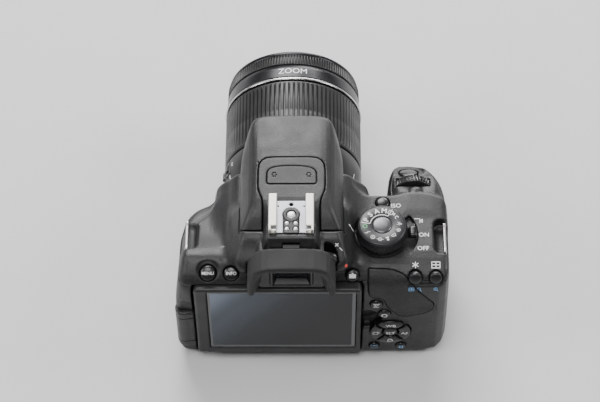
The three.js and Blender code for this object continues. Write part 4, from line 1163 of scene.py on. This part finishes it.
for name, shape, mat in (
    ("menu_button", text("MENU", 2.1, 0.02), WHITE),
    ("info_button", text("INFO", 2.2, 0.02), WHITE),
    ("live_view_button", icon("camera"), WHITE),
    ("exposure_button", icon("exposure", 1.25), WHITE),
    ("quick_button", text("Q", 4.0), WHITE),
    ("set_button", text("SET", 2.9), WHITE),
    ("playback_button", icon("play", 1.15), BLUE),
    ("erase_button", icon("bin", 1.15), BLUE),
):
    at, axis, _ = BUTTONS[name]
    stamp(Surface(name + "_cap"), shape, at + axis * 2, axis, mat, name, UP)
for name, shape, dx, dz in (
    ("key_up", text("WB", 3.2), 0, 7.0),
    ("key_right", text("AF", 3.0), 7.0, 0),
    ("key_left", icon("drive", 1.2), -7.0, 0),
    ("key_down", icon("style", 1.3), 0, -7.0),
):
    stamp(Surface(name + "_cap"), shape, (KEY_X + dx, REAR - 3, KEY_Z + dz), BACK, WHITE, name, UP)

dial_top = Surface("mode_dial_face")
DIAL_MARKS = ["P", "S", "A", "M", "movie", "moon", "runner", "bloom", "hill", "face", "plane", "bolt_off",
              "bolt",
              "box"]
MARK_REACH = 8.2  # mm from the dial's axis to the middle of each mark
for i, name in enumerate(DIAL_MARKS):
    turn = 185 - 360 / len(DIAL_MARKS) * (i - 13)
    angle = math.radians(turn)
    shape = moved(text(name, 3.6, 0.02), turn=turn - 90) if len(name) == 1 else icon(name, turn=turn - 90)
    at = (DIAL_AT[0] + MARK_REACH * math.cos(angle), DIAL_AT[1] + MARK_REACH * math.sin(angle), 78.2)
    stamp(dial_top, shape, at, UP, GREEN if name == "box" else WHITE, "mode_dial", lift=0.03)
bracket = ring(0, 0, 5.75, 0.36, 60, 172) + line([(2.87, 4.98), (5.0, 8.66)], 0.36)
bracket += line([(-5.69, 0.8), (-9.9, 1.39)], 0.36)
stamp(dial_top, bracket, (DIAL_AT[0], DIAL_AT[1], 78.2), UP, WHITE, "mode_dial", lift=0.03)

barrel = Surface("fixed_barrel")
grip_ring = Surface("zoom_grip")
LENS_RADIUS = 34  # mm, near enough for the marks to be laid from


def sideways(word, size):
    return moved(text(word, size), turn=90)


for surface, shape, y, rise, body in (
    (Surface("front_tube"), text("ZOOM", 4.8, 0.0), 106.2, 90, FRONT_BARREL),
    (barrel, line([(0, -3.8), (0, 3.8)], 0.7), 52, 26, LENS),
    (barrel, sideways("AF", 2.3), 61, 151, LENS),
    (barrel, sideways("MF", 2.3), 55.4, 157, LENS),
    (barrel, sideways("ON", 2.0), 61, 180, LENS),
    (barrel, sideways("OFF", 2.0), 55.4, 174, LENS),
    (barrel, disc(0, 0, 0.9), 49.5, 90, LENS),
    (grip_ring, text("18", 1.9), 67.6, 118, "zoom_ring"),
    (grip_ring, text("24", 1.9), 67.6, 104, "zoom_ring"),
    (grip_ring, text("35", 1.9), 67.6, 88, "zoom_ring"),
    (grip_ring, text("55", 1.9), 67.6, 70, "zoom_ring"),
):
    a = math.radians(rise)
    n = (math.cos(a), 0, math.sin(a))
    stamp(surface, shape, (LENS_RADIUS * n[0], y, AXIS + LENS_RADIUS * n[2]), n, WHITE, body)

for (body, mat), (verts, faces) in MARKS.items():
    name = f"{body}_{mat}"
    piece(name, mesh_from(name, verts, faces), bpy.data.materials[mat], body, smooth=False)


# ---------------------------------------------------------------- floor, light and camera
FLOOR_HALF = 3.0  # half the floor's width, in metres
FLOOR_Z = -0.0003
floor = bpy.data.objects.new("floor", mesh_from("floor", [(x * FLOOR_HALF, y * FLOOR_HALF, FLOOR_Z) for x,
                                                          y in (
    (-1, -1), (1, -1), (1, 1), (-1, 1))], [(0, 1, 2, 3)]))
floor.data.materials.append(material("pale_floor", (0.62, 0.62, 0.62), 0.8, size=30, mottle=0.01))
bpy.context.scene.collection.objects.link(floor)


TARGET = Vector((0, 0.03, 0.05))
for name, where, size, power in (
    ("key", (-0.2, 1.0, 0.95), 0.7, 24),
    ("front", (0.35, 1.25, 0.5), 0.5, 10),
    ("top", (-0.1, -0.35, 1.3), 0.6, 9),
    ("side", (0.9, 0.1, 0.7), 0.4, 5),
    ("left", (-0.9, -0.1, 0.7), 0.4, 5),
):
    light = bpy.data.lights.new(name, "AREA")
    light.size = size
    light.energy = power
    obj = bpy.data.objects.new(name, light)
    bpy.context.scene.collection.objects.link(obj)
    obj.location = where
    obj.rotation_euler = (TARGET - Vector(where)).to_track_quat("-Z", "Y").to_euler()
world = bpy.data.worlds.new("studio")
world.use_nodes = True
backdrop = world.node_tree.nodes["Background"]
backdrop.inputs["Color"].default_value = (0.75, 0.76, 0.78, 1)
backdrop.inputs["Strength"].default_value = 0.22
bpy.context.scene.world = world

camera = bpy.data.objects.new("camera", bpy.data.cameras.new("camera"))
camera.data.lens = 124.46
camera.data.sensor_width = 36
camera.data.clip_start = 0.01
heading, tilt, roll = (math.radians(a) for a in (0.791, 55.925, -0.718))
ahead = Vector((-math.sin(heading) * math.cos(tilt), math.cos(heading) * math.cos(tilt), -math.sin(tilt)))
level = Vector((math.cos(heading), math.sin(heading), 0))
right = math.cos(roll) * level + math.sin(roll) * level.cross(ahead)
upward = right.cross(ahead)
CAMERA_AT = (0.01159, -0.53263, 0.90153)
camera.matrix_world = Matrix([(*row, at) for *row, at in zip(right, upward, -ahead, CAMERA_AT)] + [(0, 0, 0,
        1)])
bpy.context.scene.collection.objects.link(camera)
bpy.context.scene.camera = camera
